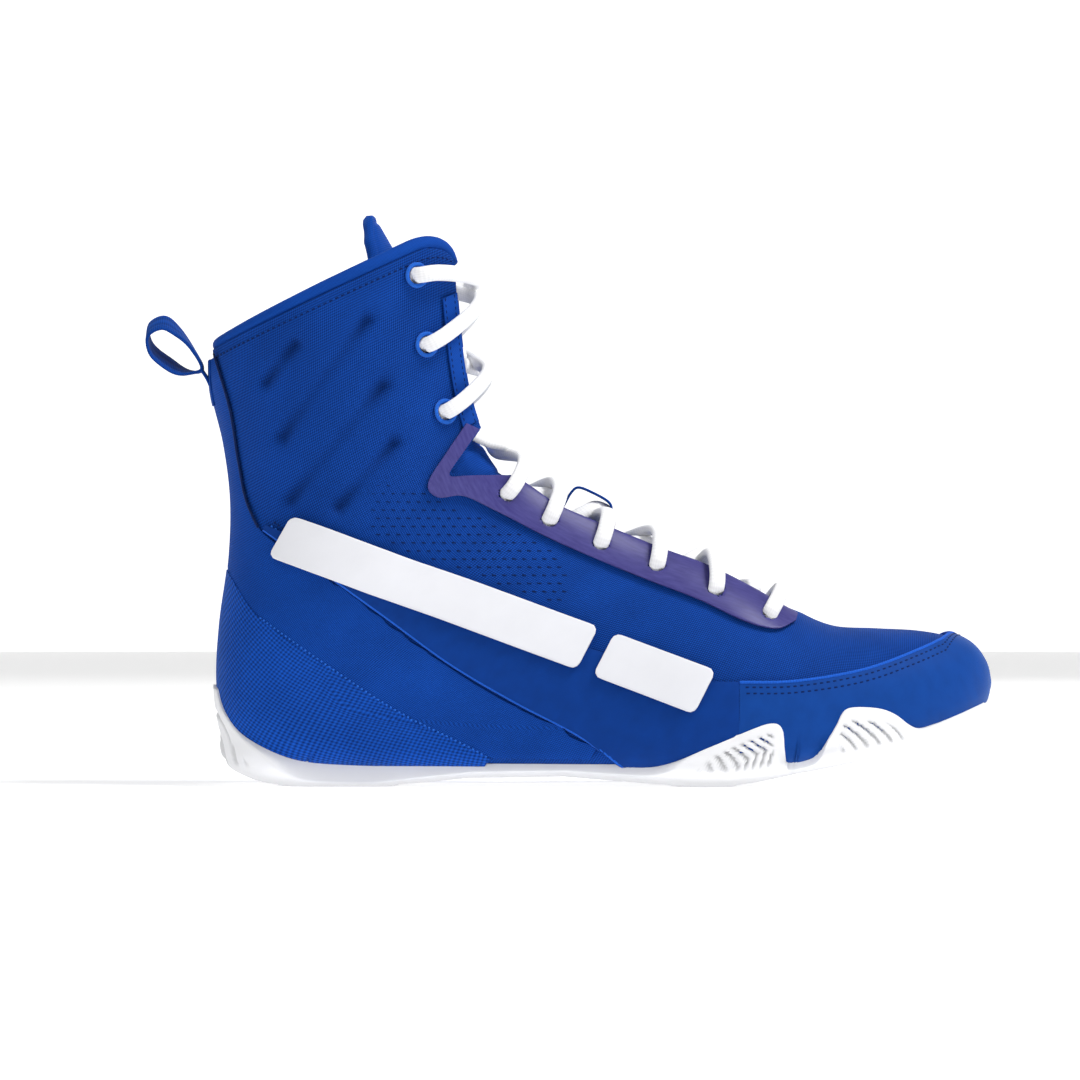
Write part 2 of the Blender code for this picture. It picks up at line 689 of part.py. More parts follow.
def collar_binding(group):
    """The rolled edge: up one flap's corner, round the collar and down the other."""
    u = ROWS[0]
    halves = []
    for side in (LATERAL, MEDIAL):
        phis = np.linspace(flap_edge(u) + 0.002, 1.0, 24)
        halves.append(upper_point(u, phis, side, np.full(len(phis), -BINDING_RADIUS)))
        halves[-1][-1, 1] = 0.0
    line = np.vstack([halves[0], halves[1][-2::-1]])
    along = np.gradient(line, axis=0)
    outwards = line - np.array(SHAFT_AXIS)
    outwards[:, 2] = 0.0
    upwards = np.cross(outwards, along)
    upwards /= -np.linalg.norm(upwards, axis=1)[:, None]
    line += upwards * (BINDING_RADIUS + GAP)
    tube("collar_binding", "binding_blue", thinned(line, longest=14.0, sharpest=32.0), BINDING_RADIUS, group)


def heel_panel(group):
    def phis(u):
        return clipped(upper_phis(u), heel_seam(u), above_sole(u))

    skin("heel_panel", "knit_blue", SKIN_THICK, group, rows_between(0.45, 12.2), phis, SKIN_TOP)


def toe_guard(group):
    corners = [(TOE_SEAM_X, z) for z in (37.4, 21.8)]
    lower = [point for point in lifted(SOLE_TOP, SOLE_MARGIN) if point[0] > TOE_SEAM_X + 2]
    low_edge = edge_line([*corners, *lower], front=SOLE_FRONT_U + 0.1)

    def phis(u):
        return clipped(upper_phis(u), toe_top(u), low_edge(u))

    edges = [locate(x, z)[0] for x, z in (*corners, *lower[1:-2])]
    rows = merged_rows(rows_between(edges[0] + 0.1, 21.0), edges)
    skin("toe_guard", "panel_blue", SKIN_THICK, group, rows, phis, SKIN_TOP + TOE_LIFT)


SIDE_PANEL = (  # upper edge, lower edge
    ((21.0, 96.4), (20.2, 94.7)), ((48.0, 85.0), (40.0, 80.6)), ((76.0, 74.5), (64.0, 63.1)),
    ((104.0, 64.0), (88.0, 45.6)), ((130.0, 54.5), (112.0, 31.5)), ((150.0, 47.0), (135.0, 19.6)),
    ((166.0, 41.5), (152.0, 11.2)), ((175.0, 39.3), (163.5, 10.4)), ((184.0, 38.7), (174.0, 12.9)),
    ((193.9, 38.5), (193.9, 20.8)),
)
BAND_SLOPE, BAND_MIDDLE, BAND_HALF, BAND_LEAN = -0.372, (24.6, 93.0), 7.7, 4.0
BAND_PIECES = {"side_band": (27.0, 139.0), "side_band_tip": (145.0, 182.0)}
EYESTAY_FILM = (  # edge nearest the laces, outer edge
    ((97.8, 131.5), (93.3, 133.8)), ((92.6, 123.6), (86.3, 123.0)), ((87.2, 114.9), (79.9, 112.4)),
    ((87.9, 114.3), (79.9, 109.3)), ((92.5, 114.5), (83.4, 106.6)), ((100.0, 114.6), (92.0, 107.2)),
    ((110.4, 113.8), (105.0, 101.2)), ((127.4, 103.2), (124.0, 91.4)), ((147.3, 94.5), (143.0, 83.0)),
    ((166.3, 86.7), (160.0, 76.0)), ((184.1, 80.0), (180.0, 68.2)), ((203.3, 70.0), (199.0, 59.4)),
    ((211.0, 65.4), (209.0, 57.6)), ((216.0, 62.6), (215.2, 60.2)),
)


def side_pieces(group, cutter):
    for side in (LATERAL, MEDIAL):
        word = SIDE_NAMES[side]
        patch(f"side_panel_{word}", "panel_blue", SIDE_PANEL, SKIN_TOP, SKIN_THICK, side, group)
        for name, (start, end) in BAND_PIECES.items():
            patch(f"{name}_{word}", "band_white", band_pairs(start, end), BAND_TOP, BAND_THICK, side, group, 2)
        film = patch(f"eyestay_film_{word}", "film_indigo", EYESTAY_FILM, SKIN_TOP, SKIN_THICK, side, group)
        punch(film, cutter)


def band_pairs(start, end):
    """Upper and lower edge points of a straight sloping band between two places along it."""
    pairs = []
    for x in np.linspace(start, end, 3):
        z = BAND_MIDDLE[1] + BAND_SLOPE * (x - BAND_MIDDLE[0])
        pairs.append(((x + BAND_LEAN, z + BAND_HALF), (x - BAND_LEAN, z - BAND_HALF)))
    return pairs


# ------------------------------------------------------------------ the sole and what lies in it

FOOT_TREAD = 0.35  # what reaches lower than this is part of the flat tread
SOLE_WALL, SOLE_CLEAR = 2.7, 1.1
SOLE_DEPTH = (  # u and the sole's depth below the upper's underside
    (6.0, 4.0), (7.0, 8.0), (8.0, 7.2), (9.0, 8.9), (10.0, 7.9), (11.0, 3.7), (12.0, 2.9), (13.0, 5.4), (13.5, 6.3),
    (14.0, 6.3), (15.0, 4.4), (16.0, 4.4), (17.0, 4.4), (18.0, 4.4), (19.0, 4.6), (20.0, 4.0), (21.0, 3.0),
)
CUSHION_DEPTH = (
    (7.2, 0.6), (8.3, 4.4), (10.2, 4.2), (10.8, 0.6), (12.0, 0.6), (12.6, 2.1), (18.0, 1.9), (18.8, 0.6),
)


def downwards(u, phi):
    """0 on the sides to 1 where the surface faces the ground."""
    share = float(np.clip((-base_normal(u, phi, LATERAL)[2] - 0.2) / 0.6, 0.0, 1.0))
    return share * share * (3 - 2 * share)


def depth_of(table, u):
    us, depths = zip(*table)
    return float(np.interp(u, us, depths))


def sole(group):
    def outer(u, phi):
        return SOLE_WALL + (depth_of(SOLE_DEPTH, u) - SOLE_WALL) * downwards(u, phi)

    def inner(u, phi):
        return SOLE_CLEAR + depth_of(CUSHION_DEPTH, u) * downwards(u, phi)

    def phis(u):
        shared = clipped(upper_phis(u), sole_top(u), 1.0)
        return [*shared[3:-1], *np.linspace(shared[-1], 1.0, 3)]

    corners = [locate(x, z)[0] for x, z in SOLE_TOP[10:22]]
    rows = merged_rows(rows_between(6.3, 20.1), [SOLE_BACK_U, *corners, SOLE_FRONT_U])
    loft("outsole", "rubber_white", group, rows, phis, outer, inner, flat_foot=True)


def cushions(group):
    def phis(u):
        return spread(u, phi_of_bottom_share(u, 0.72), 1.0, 3)

    def outer(u, phi):
        return max(1.0, depth_of(CUSHION_DEPTH, u) * downwards(u, phi))

    def inner(u, phi):
        return 0.6

    loft("heel_cushion", "foam_white", group, rows_between(8.3, 10.6), phis, outer, inner)
    loft("forefoot_cushion", "foam_white", group, rows_between(13.0, 17.5), phis, outer, inner)


def insoles(group):
    def board_phis(u):
        share = float(np.interp(u, (7.9, 9.0, 18.6, 19.6), (0.0, 0.78, 0.72, 0.0)))
        return spread(u, phi_of_bottom_share(u, share), 1.0, 3)

    def sock_phis(u):
        share = float(np.interp(u, (8.0, 9.0, 18.4, 19.4), (0.0, 0.74, 0.68, 0.0)))
        return spread(u, phi_of_bottom_share(u, share), 1.0, 3)

    rows = merged_rows(rows_between(8.3, 19.0), [7.95, 19.6])
    skin("insole_board", "board_fibre", BOARD_THICK, group, rows, board_phis, BOARD_TOP)
    rows = merged_rows(rows_between(8.3, 19.0), [8.05, 19.4])
    skin("sockliner", "lining_blue", SOCK_THICK, group, rows, sock_phis, SOCK_TOP)


# ------------------------------------------------------------------ the tongue

TONGUE_LAYERS = {  # distance of the outer face, thickness, finish
    "cover": (-8.4, 0.8, "mesh_blue"),
    "foam": (-9.6, 2.2, "foam_white"),
    "lining": (-12.3, 0.7, "lining_blue"),
}
TONGUE_HALF = (  # u and half width on the base surface
    (-0.95, 7.0), (-0.8, 14.0), (-0.45, 22.0), (0.2, 27.0), (1.0, 29.0), (4.6, 28.0), (6.5, 26.0), (10.0, 24.0),
    (13.0, 18.0), (14.2, 14.0), (15.0, 11.0),
)
TONGUE_BACK = ((-1.0, 31.0), (0.0, 21.5), (1.0, 14.0), (2.0, 8.0), (3.0, 3.8), (4.0, 1.0), (5.0, 0.0))
TONGUE_TOP_ROWS = (-0.95, -0.8, -0.45, 0.2, 1.0, 2.0, 3.2, 4.3)
TONGUE_LOW_ROWS = (4.6, 5.2, 5.9, 6.6, 7.4, 8.5, 10.0, 11.8, 13.2, 14.2, 15.0)
TONGUE_HINGE_U, TONGUE_HINGE_D = 4.45, -13.3
KEEPER_ROWS, KEEPER_THICK, KEEPER_WIDTH = (8.6, 10.05), 0.9, 7.0


def tongue_back(u):
    """How far the tongue lies behind the surface's front line."""
    us, shifts = zip(*TONGUE_BACK)
    return float(np.interp(u, us, shifts))


def tongue_phis(u):
    half = depth_of(TONGUE_HALF, u)
    return [0.0] + [phi_of_front_y(u, half * share, LATERAL) for share in (0.4, 0.75, 1.0)]


def tongue_point(u, phi, side, d):
    """The surface moved back along each section's chord, with normals of its own."""
    def at(row, column):
        return base_point(row, column, side) + chord(row) * tongue_back(row)

    step = 0.02
    inner = np.clip(phi, step, 1 - step)
    along = at(u + step, inner) - at(u - step, inner)
    round_section = at(u, inner + step) - at(u, inner - step)
    normal = np.cross(along, round_section) * side
    normal[phi < 1e-6, 1] = 0.0
    normal /= np.linalg.norm(normal, axis=1)[:, None]
    return at(u, phi) + normal * d[:, None]


def chord(u):
    """Unit vector from the front of the section to its back."""
    s = station(u)
    line = np.array([s[2] - s[0], 0.0, s[3] - s[1]])
    return line / np.linalg.norm(line)


def tongue(group):
    """The padded tongue in two lengths that meet at its bend over the instep."""
    hinge = tongue_hinge()
    for layer, (top, thickness, finish) in TONGUE_LAYERS.items():
        for part, rows in (("low", TONGUE_LOW_ROWS), ("top", TONGUE_TOP_ROWS)):
            name = f"tongue_{layer}_{part}"
            made = skin(name, finish, thickness, group, rows, tongue_phis, top, point_at=tongue_point)
            if part == "top":
                set_origin(made, hinge)


def tongue_hinge():
    x, _, z = tongue_point(TONGUE_HINGE_U, np.zeros(1), LATERAL, np.array([TONGUE_HINGE_D]))[0]
    return Vector(place((x, 0.0, z)))


def set_origin(item, at):
    item.data.transform(Matrix.Translation(-at))
    item.location = at


def lace_keeper(group):
    """The small webbing bridge on the tongue that holds the laces' crossing."""
    low, high = KEEPER_ROWS
    middle = (low + high) / 2
    half = [(low - 0.3, -7.5), (low, -7.5), (low + 0.12, -5.5), (low + 0.16, 1.0), (low + 0.26, 3.8), (middle, 4.7)]
    stops = half + [(2 * middle - u, d) for u, d in half[-2::-1]]
    line = np.array([surface(u, 0.0, LATERAL, np.array(d))[[0, 2]] for u, d in stops])
    outline = np.vstack([beside(line, side * KEEPER_THICK / 2, False)[::side] for side in (1, -1)])
    strap("tongue_lace_keeper", "binding_blue", [outline], KEEPER_WIDTH, group)


# ------------------------------------------------------------------ laces

HOLE_RUN = (-2.4, 2.3)  # where the lace runs straight through a hole, as distances from the surface
OVER, UNDER = 4.9, -5.2  # the lace on the flap and under it
BEND_OUT, EDGE_Y = 3.4, 9.2
THROAT_CROSS, SHAFT_CROSS, CROSS_APART = -1.3, -3.3, 2.3
UNDER_CROSS, UNDER_APART = -3.4, 0.95  # the lowest crossing, and its share of the others' spacing
BAR_HEIGHT = 3.4


def across(u, y, d, back=0.0):
    """A point y millimetres to the medial side of the middle, d above the surface, moved back."""
    side = MEDIAL if y >= 0 else LATERAL
    phi = phi_of_front_y(u, abs(y), side)
    return surface(u, phi, side, np.array(d)) + chord(u) * back


def hole_place(k, side):
    u, phi = locate(*EYELETS[k])
    return u, side * abs(float(base_point(u, phi, side)[1]) - float(station(u)[6]))


def hole_points(k, side, outwards):
    u, y = hole_place(k, side)
    points = [across(u, y, d) for d in HOLE_RUN]
    return points if outwards else points[::-1]


def strand(first, second, levels, middle):
    """Route between two holes. levels are the lace's d beside the first hole and the second."""
    (ua, ya), (ub, yb) = hole_place(*first), hole_place(*second)
    bend = BEND_OUT / math.hypot(ya - yb, 17.0 * (ua - ub))
    edge_a, edge_b = (abs(ya) - EDGE_Y) / (abs(ya) + abs(yb)), (abs(ya) + EDGE_Y) / (abs(ya) + abs(yb))
    edge_levels = [level - 0.9 if level > 0 else level + 0.4 for level in levels]
    stops = (
        (bend, levels[0]), (edge_a, edge_levels[0]), (0.5, middle), (edge_b, edge_levels[1]), (1 - bend, levels[1]),
    )
    return [across(ua + (ub - ua) * s, ya + (yb - ya) * s, d) for s, d in stops]


def climbing_half(side, lift):
    """From just past the bottom bar up to the top hole: under both flaps, then criss-cross."""
    bottom = len(EYELETS) - 1
    route = hole_points(bottom, side, outwards=False)
    route += strand((bottom, side), (bottom - 1, -side), (UNDER, UNDER), UNDER_CROSS + lift * UNDER_APART)
    here = -side
    for k in range(bottom - 1, 0, -1):
        route += hole_points(k, here, outwards=True)
        middle = lift + (SHAFT_CROSS if k <= SHAFT_EYELETS else THROAT_CROSS)
        route += strand((k, here), (k - 1, -here), (OVER, OVER if k == 1 else UNDER), middle)
        here = -here
    route += hole_points(0, here, outwards=False)
    return route, here


def tail(side):
    """The loose end, folded between the flap and the tongue."""
    stops = ((0.8, 26.8, 6.5), (1.3, 24.5, 7.0), (1.75, 21.0, 6.5), (1.5, 17.8, 7.5), (1.0, 16.5, 9.5),
             (0.6, 14.0, 10.5), (0.55, 10.5, 10.8), (0.95, 8.2, 9.5), (1.4, 7.4, 7.5))
    return [across(u, side * y, -2.0, back) for u, y, back in stops]


def lace(group):
    left, left_side = climbing_half(LATERAL, CROSS_APART)
    right, right_side = climbing_half(MEDIAL, -CROSS_APART)
    bottom = len(EYELETS) - 1
    bar = strand((bottom, LATERAL), (bottom, MEDIAL), (OVER, OVER), BAR_HEIGHT)
    route = tail(left_side)[::-1] + left[::-1] + bar + right + tail(right_side)
    route = thinned(smooth_line(np.array(route)), longest=24.0, sharpest=56.0)
    tube("lace", "lace_white", route, LACE_RADIUS, group)
    for name, end, inner in (("aglet_lateral", route[0], route[1]), ("aglet_medial", route[-1], route[-2])):
        away = (end - inner) / np.linalg.norm(end - inner)
        points = [end + away * GAP, end + away * (GAP + AGLET_LENGTH)]
        tube(name, "aglet_clear", np.array(points), LACE_RADIUS - 0.2, group)


# ------------------------------------------------------------------ the pull loop

LOOP_HINGE = (-4.0, 154.0)
LOOP_LINE = (
    (-4.4, 154.3), (-7.6, 161.5), (-13.0, 168.2), (-18.8, 171.8), (-24.2, 169.0), (-23.6, 162.6), (-17.0, 156.6),
    (-10.0, 153.4),
)
LOOP_WIDTH = 12.0
TAB_LIFT = 1.0


def pull_loop(group):
    """The webbing loop and the patch that holds it on the back of the collar."""
    def tab_phis(u):
        return [phi_of_bottom_share(u, share) for share in (0.2, 0.1, 0.0)]

    rows = (0.45, 0.75, 1.3)
    skin("pull_loop_tab", "binding_blue", SKIN_THICK, group, rows, tab_phis, SKIN_TOP + TAB_LIFT)
    line = smooth_line(np.insert(np.array(LOOP_LINE), 1, 0.0, axis=1), closed=True, steps=3)[:, [0, 2]]
    outline = [beside(line, side * WEBBING_THICK / 2, True) for side in (1, -1)]
    strap("pull_loop", "binding_blue", outline, LOOP_WIDTH, group, LOOP_HINGE)


# ------------------------------------------------------------------ build

def main():
    clear_scene()
    parts = collection("boxing_boot")
    cutters = collection("cutters")
    punches = hole_punches(cutters)
    upper(parts, punches)
    padding(parts)
    lining(parts)
    facings(parts)
    collar_binding(parts)
    heel_panel(parts)
    toe_guard(parts)
    side_pieces(parts, punches)
    eyelet_rings(parts)
    sole(parts)
    cushions(parts)
    insoles(parts)
    tongue(parts)
    lace_keeper(parts)
    lace(parts)
    pull_loop(parts)


main()
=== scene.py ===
"""Looks for the high boxing boot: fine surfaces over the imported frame, materials, light and camera.

The boot's skins follow the same base surface as the frame: stations u from the collar (0) to the
toe tip (21), phi round the half section from front (0) to back (1), and a distance d along the
normal. Lengths are in millimetres, measured from the heel's back, until place() puts them in the frame.
"""

import math

import bmesh
import bpy
import numpy as np
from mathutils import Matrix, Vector


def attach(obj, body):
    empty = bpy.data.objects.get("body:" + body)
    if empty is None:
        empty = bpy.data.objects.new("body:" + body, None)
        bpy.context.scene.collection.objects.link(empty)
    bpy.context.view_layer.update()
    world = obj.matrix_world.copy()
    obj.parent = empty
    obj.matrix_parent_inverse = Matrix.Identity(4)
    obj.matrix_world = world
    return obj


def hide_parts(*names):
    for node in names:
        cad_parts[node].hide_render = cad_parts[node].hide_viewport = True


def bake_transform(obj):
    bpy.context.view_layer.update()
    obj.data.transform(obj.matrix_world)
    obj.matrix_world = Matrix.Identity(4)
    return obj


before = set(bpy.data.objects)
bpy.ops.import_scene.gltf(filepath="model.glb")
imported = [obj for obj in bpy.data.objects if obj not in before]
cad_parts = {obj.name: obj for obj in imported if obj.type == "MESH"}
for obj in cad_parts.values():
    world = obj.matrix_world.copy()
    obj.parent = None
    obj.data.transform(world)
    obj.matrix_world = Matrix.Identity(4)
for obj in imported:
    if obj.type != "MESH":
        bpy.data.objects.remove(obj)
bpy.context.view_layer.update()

MM = 0.001
SHIFT = np.array([132.10, 1.23, 0.0])  # from the heel's back to the middle of the whole boot
LATERAL, MEDIAL = -1, 1
SIDE_NAMES = {LATERAL: "lateral", MEDIAL: "medial"}

# front x, z; back x, z; lateral and medial half widths; middle y; where it is widest, from front 0
# to back 1; roundness of the front half (along, across); squareness of the back half
STATIONS = np.array([
    (94.5, 211.0, -0.4, 166.3, 38.0, 38.0, 0.0, 0.50, 2.1, 2.2, 2.1),
    (95.0, 191.0, 0.0, 147.0, 37.0, 37.0, 0.0, 0.50, 2.1, 2.2, 2.1),
    (96.5, 171.0, 4.6, 127.0, 35.5, 35.5, 0.0, 0.50, 2.1, 2.2, 2.1),
    (99.0, 153.0, 7.2, 106.0, 34.5, 34.5, 0.0, 0.51, 2.1, 2.2, 2.1),
    (103.0, 139.5, 6.6, 84.0, 34.5, 34.5, 0.0, 0.52, 2.1, 2.2, 2.1),
    (108.0, 129.0, 3.4, 60.0, 35.5, 35.5, 0.0, 0.55, 2.1, 2.2, 2.15),
    (113.0, 121.5, 2.4, 38.0, 35.5, 35.0, 0.0, 0.60, 2.1, 2.2, 2.3),
    (118.5, 115.8, 5.6, 19.5, 34.5, 34.0, 0.0, 0.66, 2.1, 2.2, 2.6),
    (125.5, 111.3, 15.0, 9.9, 34.0, 33.0, 0.0, 0.73, 2.1, 2.2, 3.2),
    (135.0, 106.3, 32.0, 8.4, 34.0, 32.5, 0.0, 0.79, 2.1, 2.2, 4.0),
    (149.0, 99.4, 60.0, 7.4, 34.0, 31.0, 0.0, 0.81, 2.1, 2.2, 4.4),
    (166.0, 91.9, 95.0, 6.5, 34.8, 29.0, 0.0, 0.81, 2.0, 2.2, 4.4),
    (184.0, 84.4, 130.0, 6.3, 38.5, 32.5, 0.0, 0.80, 2.0, 2.2, 4.4),
    (202.0, 74.9, 163.0, 6.1, 43.5, 40.0, 0.2, 0.79, 2.0, 2.2, 4.4),
    (216.0, 65.4, 192.0, 6.4, 46.3, 45.5, 1.0, 0.78, 2.0, 2.2, 4.4),
    (230.0, 59.3, 216.0, 9.0, 46.0, 45.7, 2.2, 0.77, 2.0, 2.3, 4.2),
    (246.0, 58.2, 238.0, 13.2, 42.8, 42.8, 3.9, 0.76, 2.1, 2.4, 3.8),
    (262.0, 57.3, 258.0, 18.0, 36.8, 36.8, 5.8, 0.74, 2.2, 2.5, 3.4),
    (274.0, 55.0, 273.0, 22.9, 28.6, 28.6, 7.4, 0.70, 2.2, 2.5, 3.0),
    (281.6, 51.2, 281.2, 26.8, 20.8, 20.8, 8.6, 0.64, 2.2, 2.4, 2.6),
    (286.2, 45.0, 286.0, 31.3, 12.0, 12.0, 9.4, 0.56, 2.2, 2.2, 2.3),
    (287.9, 38.6, 287.9, 37.0, 0.0, 0.0, 10.0, 0.50, 2.2, 2.2, 2.2),
])
LAST = len(STATIONS) - 1

UV_PER_MM = 0.01
MESH_THICK = 1.2
SKIN_TOP, SKIN_THICK = 1.2, 0.6
TOE_TOP_D = 1.8
BAND_TOP, BAND_THICK = 2.5, 1.1
BINDING_RADIUS = 2.6


# ------------------------------------------------------------------ the base surface

def station_slopes():
    steps = np.diff(STATIONS, axis=0)
    return np.vstack([steps[:1], (steps[1:] + steps[:-1]) / 2, steps[-1:]])


SLOPES = station_slopes()


def station(u):
    u = np.asarray(u, float)
    inside = np.clip(u, 0.0, LAST)
    index = np.minimum(inside.astype(int), LAST - 1)
    f = (inside - index)[..., None]
    value = (
        (2 * f**3 - 3 * f**2 + 1) * STATIONS[index]
        + (f**3 - 2 * f**2 + f) * SLOPES[index]
        + (3 * f**2 - 2 * f**3) * STATIONS[index + 1]
        + (f**3 - f**2) * SLOPES[index + 1]
    )
    return value + np.minimum(u, 0.0)[..., None] * SLOPES[0]


def section(u, phi):
    s = station(u)
    widest, along, across_power, square = s[..., 7], s[..., 8], s[..., 9], s[..., 10]
    front = np.clip(phi, 0.0, 0.5) * math.pi
    back = (np.clip(phi, 0.5, 1.0) - 0.5) * math.pi
    back_share = np.sin(back).clip(0) ** (2 / square)
    front_share = 1 - np.cos(front).clip(0) ** (2 / along)
    in_front = np.asarray(phi) < 0.5
    t = np.where(in_front, widest * front_share, widest + (1 - widest) * back_share)
    front_out = np.sin(front).clip(0) ** (2 / across_power)
    back_out = np.cos(back).clip(0) ** (2 / square)
    out = np.where(in_front, front_out, back_out)
    return t, out, s


def base_point(u, phi, side):
    t, out, s = section(u, phi)
    half = np.where(np.asarray(side) < 0, s[..., 4], s[..., 5])
    x = s[..., 0] + t * (s[..., 2] - s[..., 0])
    z = s[..., 1] + t * (s[..., 3] - s[..., 1])
    return np.stack([x, s[..., 6] + side * half * out, z], -1)


def base_normal(u, phi, side):
    u, phi, side = np.broadcast_arrays(np.asarray(u, float), np.asarray(phi, float), side)
    step = 4e-3
    near = np.minimum(u, LAST - 0.012)
    inner = np.clip(phi, step, 1 - step)
    along = base_point(near + step, inner, side) - base_point(near - step, inner, side)
    round_section = base_point(near, inner + step, side) - base_point(near, inner - step, side)
    normal = np.cross(along, round_section) * side[..., None]
    ridge = (phi < 1e-6) | (phi > 1 - 1e-6)
    normal[..., 1] = np.where(ridge, 0.0, normal[..., 1])
    return normal / np.linalg.norm(normal, axis=-1, keepdims=True)


def surface(u, phi, side, d):
    return base_point(u, phi, side) + base_normal(u, phi, side) * np.asarray(d, float)[..., None]


def place(points):
    return (np.asarray(points, float) - SHIFT) * MM


def phi_of_t(u, t):
    s = station(u)
    if t < s[7]:
        return math.acos(max(0.0, 1 - t / s[7]) ** (s[8] / 2)) / math.pi
    share = min(1.0, (t - s[7]) / (1 - s[7]))
    return 0.5 + math.asin(share ** (s[10] / 2)) / math.pi


def phi_of_front_y(u, y, side):
    s = station(u)
    half = s[4] if side < 0 else s[5]
    return math.asin(min(1.0, (y / half)) ** (s[9] / 2)) / math.pi


def phi_of_bottom_share(u, share):
    return 0.5 + math.acos(min(1.0, share ** (station(u)[10] / 2))) / math.pi


LINE_SAMPLES = np.linspace(0.0, LAST, 400)
LINES = station(LINE_SAMPLES)


def locate(x, z):
    """(u, phi) of the place that side view shows at x, z."""
    values = (LINES[:, 2] - LINES[:, 0]) * (z - LINES[:, 1]) - (LINES[:, 3] - LINES[:,
                                                                                    1]) * (x - LINES[:, 0])
    for k in np.flatnonzero(values[:-1] * values[1:] <= 0):
        share = values[k] / (values[k] - values[k + 1])
        u = float(LINE_SAMPLES[k] + share * (LINE_SAMPLES[k + 1] - LINE_SAMPLES[k]))
        s = station(u)
        run = s[2:4] - s[0:2]
        t = float(np.dot((x - s[0], z - s[1]), run) / np.dot(run, run))
        if -0.03 <= t <= 1.03:
            return u, phi_of_t(u, min(max(t, 0.0), 1.0))
    raise ValueError(f"no station passes through {x}, {z}")


def smooth_line(points, closed=False, steps=8):
    """A dense curve through the points (centripetal Catmull-Rom)."""
    points = np.asarray(points, float)
    if closed:
        padded = np.vstack([points[-1], points, points[:2]])
    else:
        padded = np.vstack([2 * points[0] - points[1], points, 2 * points[-1] - points[-2]])
    line = []
    for a, b, c, d in zip(padded, padded[1:], padded[2:], padded[3:]):
        ta = math.sqrt(np.linalg.norm(b - a))
        tb = ta + math.sqrt(np.linalg.norm(c - b))
        tc = tb + math.sqrt(np.linalg.norm(d - c))
        for k in range(steps):
            t = ta + (tb - ta) * k / steps
            ab = a + (b - a) * t / ta
            bc = b + (c - b) * (t - ta) / (tb - ta)
            cd = c + (d - c) * (t - tb) / (tc - tb)
            low = ab + (bc - ab) * t / tb
            high = bc + (cd - bc) * (t - ta) / (tc - ta)
            line.append(low + (high - low) * (t - ta) / (tb - ta))
    if not closed:
        line.append(points[-1])
    return np.array(line)


def evenly(line, spacing):
    """The line with points a fixed distance apart."""
    lengths = np.insert(np.cumsum(np.linalg.norm(np.diff(line, axis=0), axis=1)), 0, 0.0)
    marks = np.linspace(0, lengths[-1], max(2, int(round(lengths[-1] / spacing)) + 1))
    return np.stack([np.interp(marks, lengths, line[:, axis]) for axis in range(line.shape[1])], 1)


def smoothstep(low, high, value):
    share = np.clip((np.asarray(value, float) - low) / (high - low), 0.0, 1.0)
    return share * share * (3 - 2 * share)


# ------------------------------------------------------------------ outlines in side view

SHAFT_EDGE_T = 0.052
NOTCH = ((4.35, 0.052), (5.0, 0.19), (5.5, 0.128), (6.0, 0.074), (6.4, 0.045))
THROAT_EDGE = ((110.9, 114.6), (127.6, 103.9), (147.5, 95.2), (166.5, 87.4), (184.3, 80.8), (203.7, 70.7))
THROAT_END = 14.2
CORNER_T, CORNER_DROP = 0.21, 0.85
HEEL_SEAM = (
    (1.5, 160.0), (7.4, 140.0), (10.5, 121.0), (13.5, 106.0), (18.0, 95.5), (48.0, 74.0), (95.0, 39.5),
    (149.0, 11.3),
)
SOLE_TOP = (
    (3.4, 36.0), (5.5, 29.1), (10.3, 21.7), (17.8, 16.4), (31.6, 11.2), (49.8, 9.4), (81.8, 9.0),
    (119.2, 8.8),
    (151.2, 8.8), (163.0, 9.2), (172.8, 11.4), (187.4, 16.7), (198.0, 21.2), (205.4, 23.6), (208.6, 23.2),
    (210.2, 20.6), (210.6, 15.0), (211.4, 11.2), (219.5, 12.0), (223.4, 14.5), (229.2, 22.7), (232.0, 27.8),
    (234.6, 29.2), (245.8, 28.9), (251.0, 27.0), (255.5, 24.0), (259.3, 22.9), (265.2, 24.2), (275.0, 27.7),
    (284.5, 31.5),
)
SOLE_BACK_U, SOLE_FRONT_U = 6.02, 20.3
TOE_SEAM_X = 194.5
TOE_TOP = ((194.5, 38.3), (214.0, 38.5), (240.0, 42.5), (262.5, 50.2), (270.0, 53.3))
TOE_TOP_END = 18.1
TUCK = 2.4  # how far the panels reach down behind the sole's edge


def edge_line(points, back=None, front=None, ends=1.0):
    """phi as a function of u along a smooth outline. back and front are values of u where phi is ends."""
    places = [locate(*point) for point in smooth_line(points, steps=6)]
    places += [(u, ends) for u in (back, front) if u is not None]
    us, phis = zip(*sorted(places))
    return lambda u: float(np.interp(u, us, phis))


def lifted(points, clear):
    return tuple((x + 0.3 * clear, z + clear) for x, z in points)


throat_line = edge_line(THROAT_EDGE)
heel_seam = edge_line(HEEL_SEAM)
sole_top = edge_line(SOLE_TOP, SOLE_BACK_U, SOLE_FRONT_U)
tucked_in = edge_line(lifted(SOLE_TOP, -TUCK), SOLE_BACK_U + 0.2, SOLE_FRONT_U + 0.3)
toe_top = edge_line(TOE_TOP, front=TOE_TOP_END, ends=0.0)
THROAT_LAST = locate(*THROAT_EDGE[-1])[0]


def flap_edge(u):
    if u >= THROAT_END:
        return 0.0
    if u <= NOTCH[-1][0]:
        us, ts = zip(*NOTCH)
        return phi_of_t(u, float(np.interp(u, us, ts)))
    fade = np.clip((THROAT_END - u) / (THROAT_END - THROAT_LAST), 0.0, 1.0)
    return throat_line(min(u, THROAT_LAST)) * math.sqrt(float(fade))


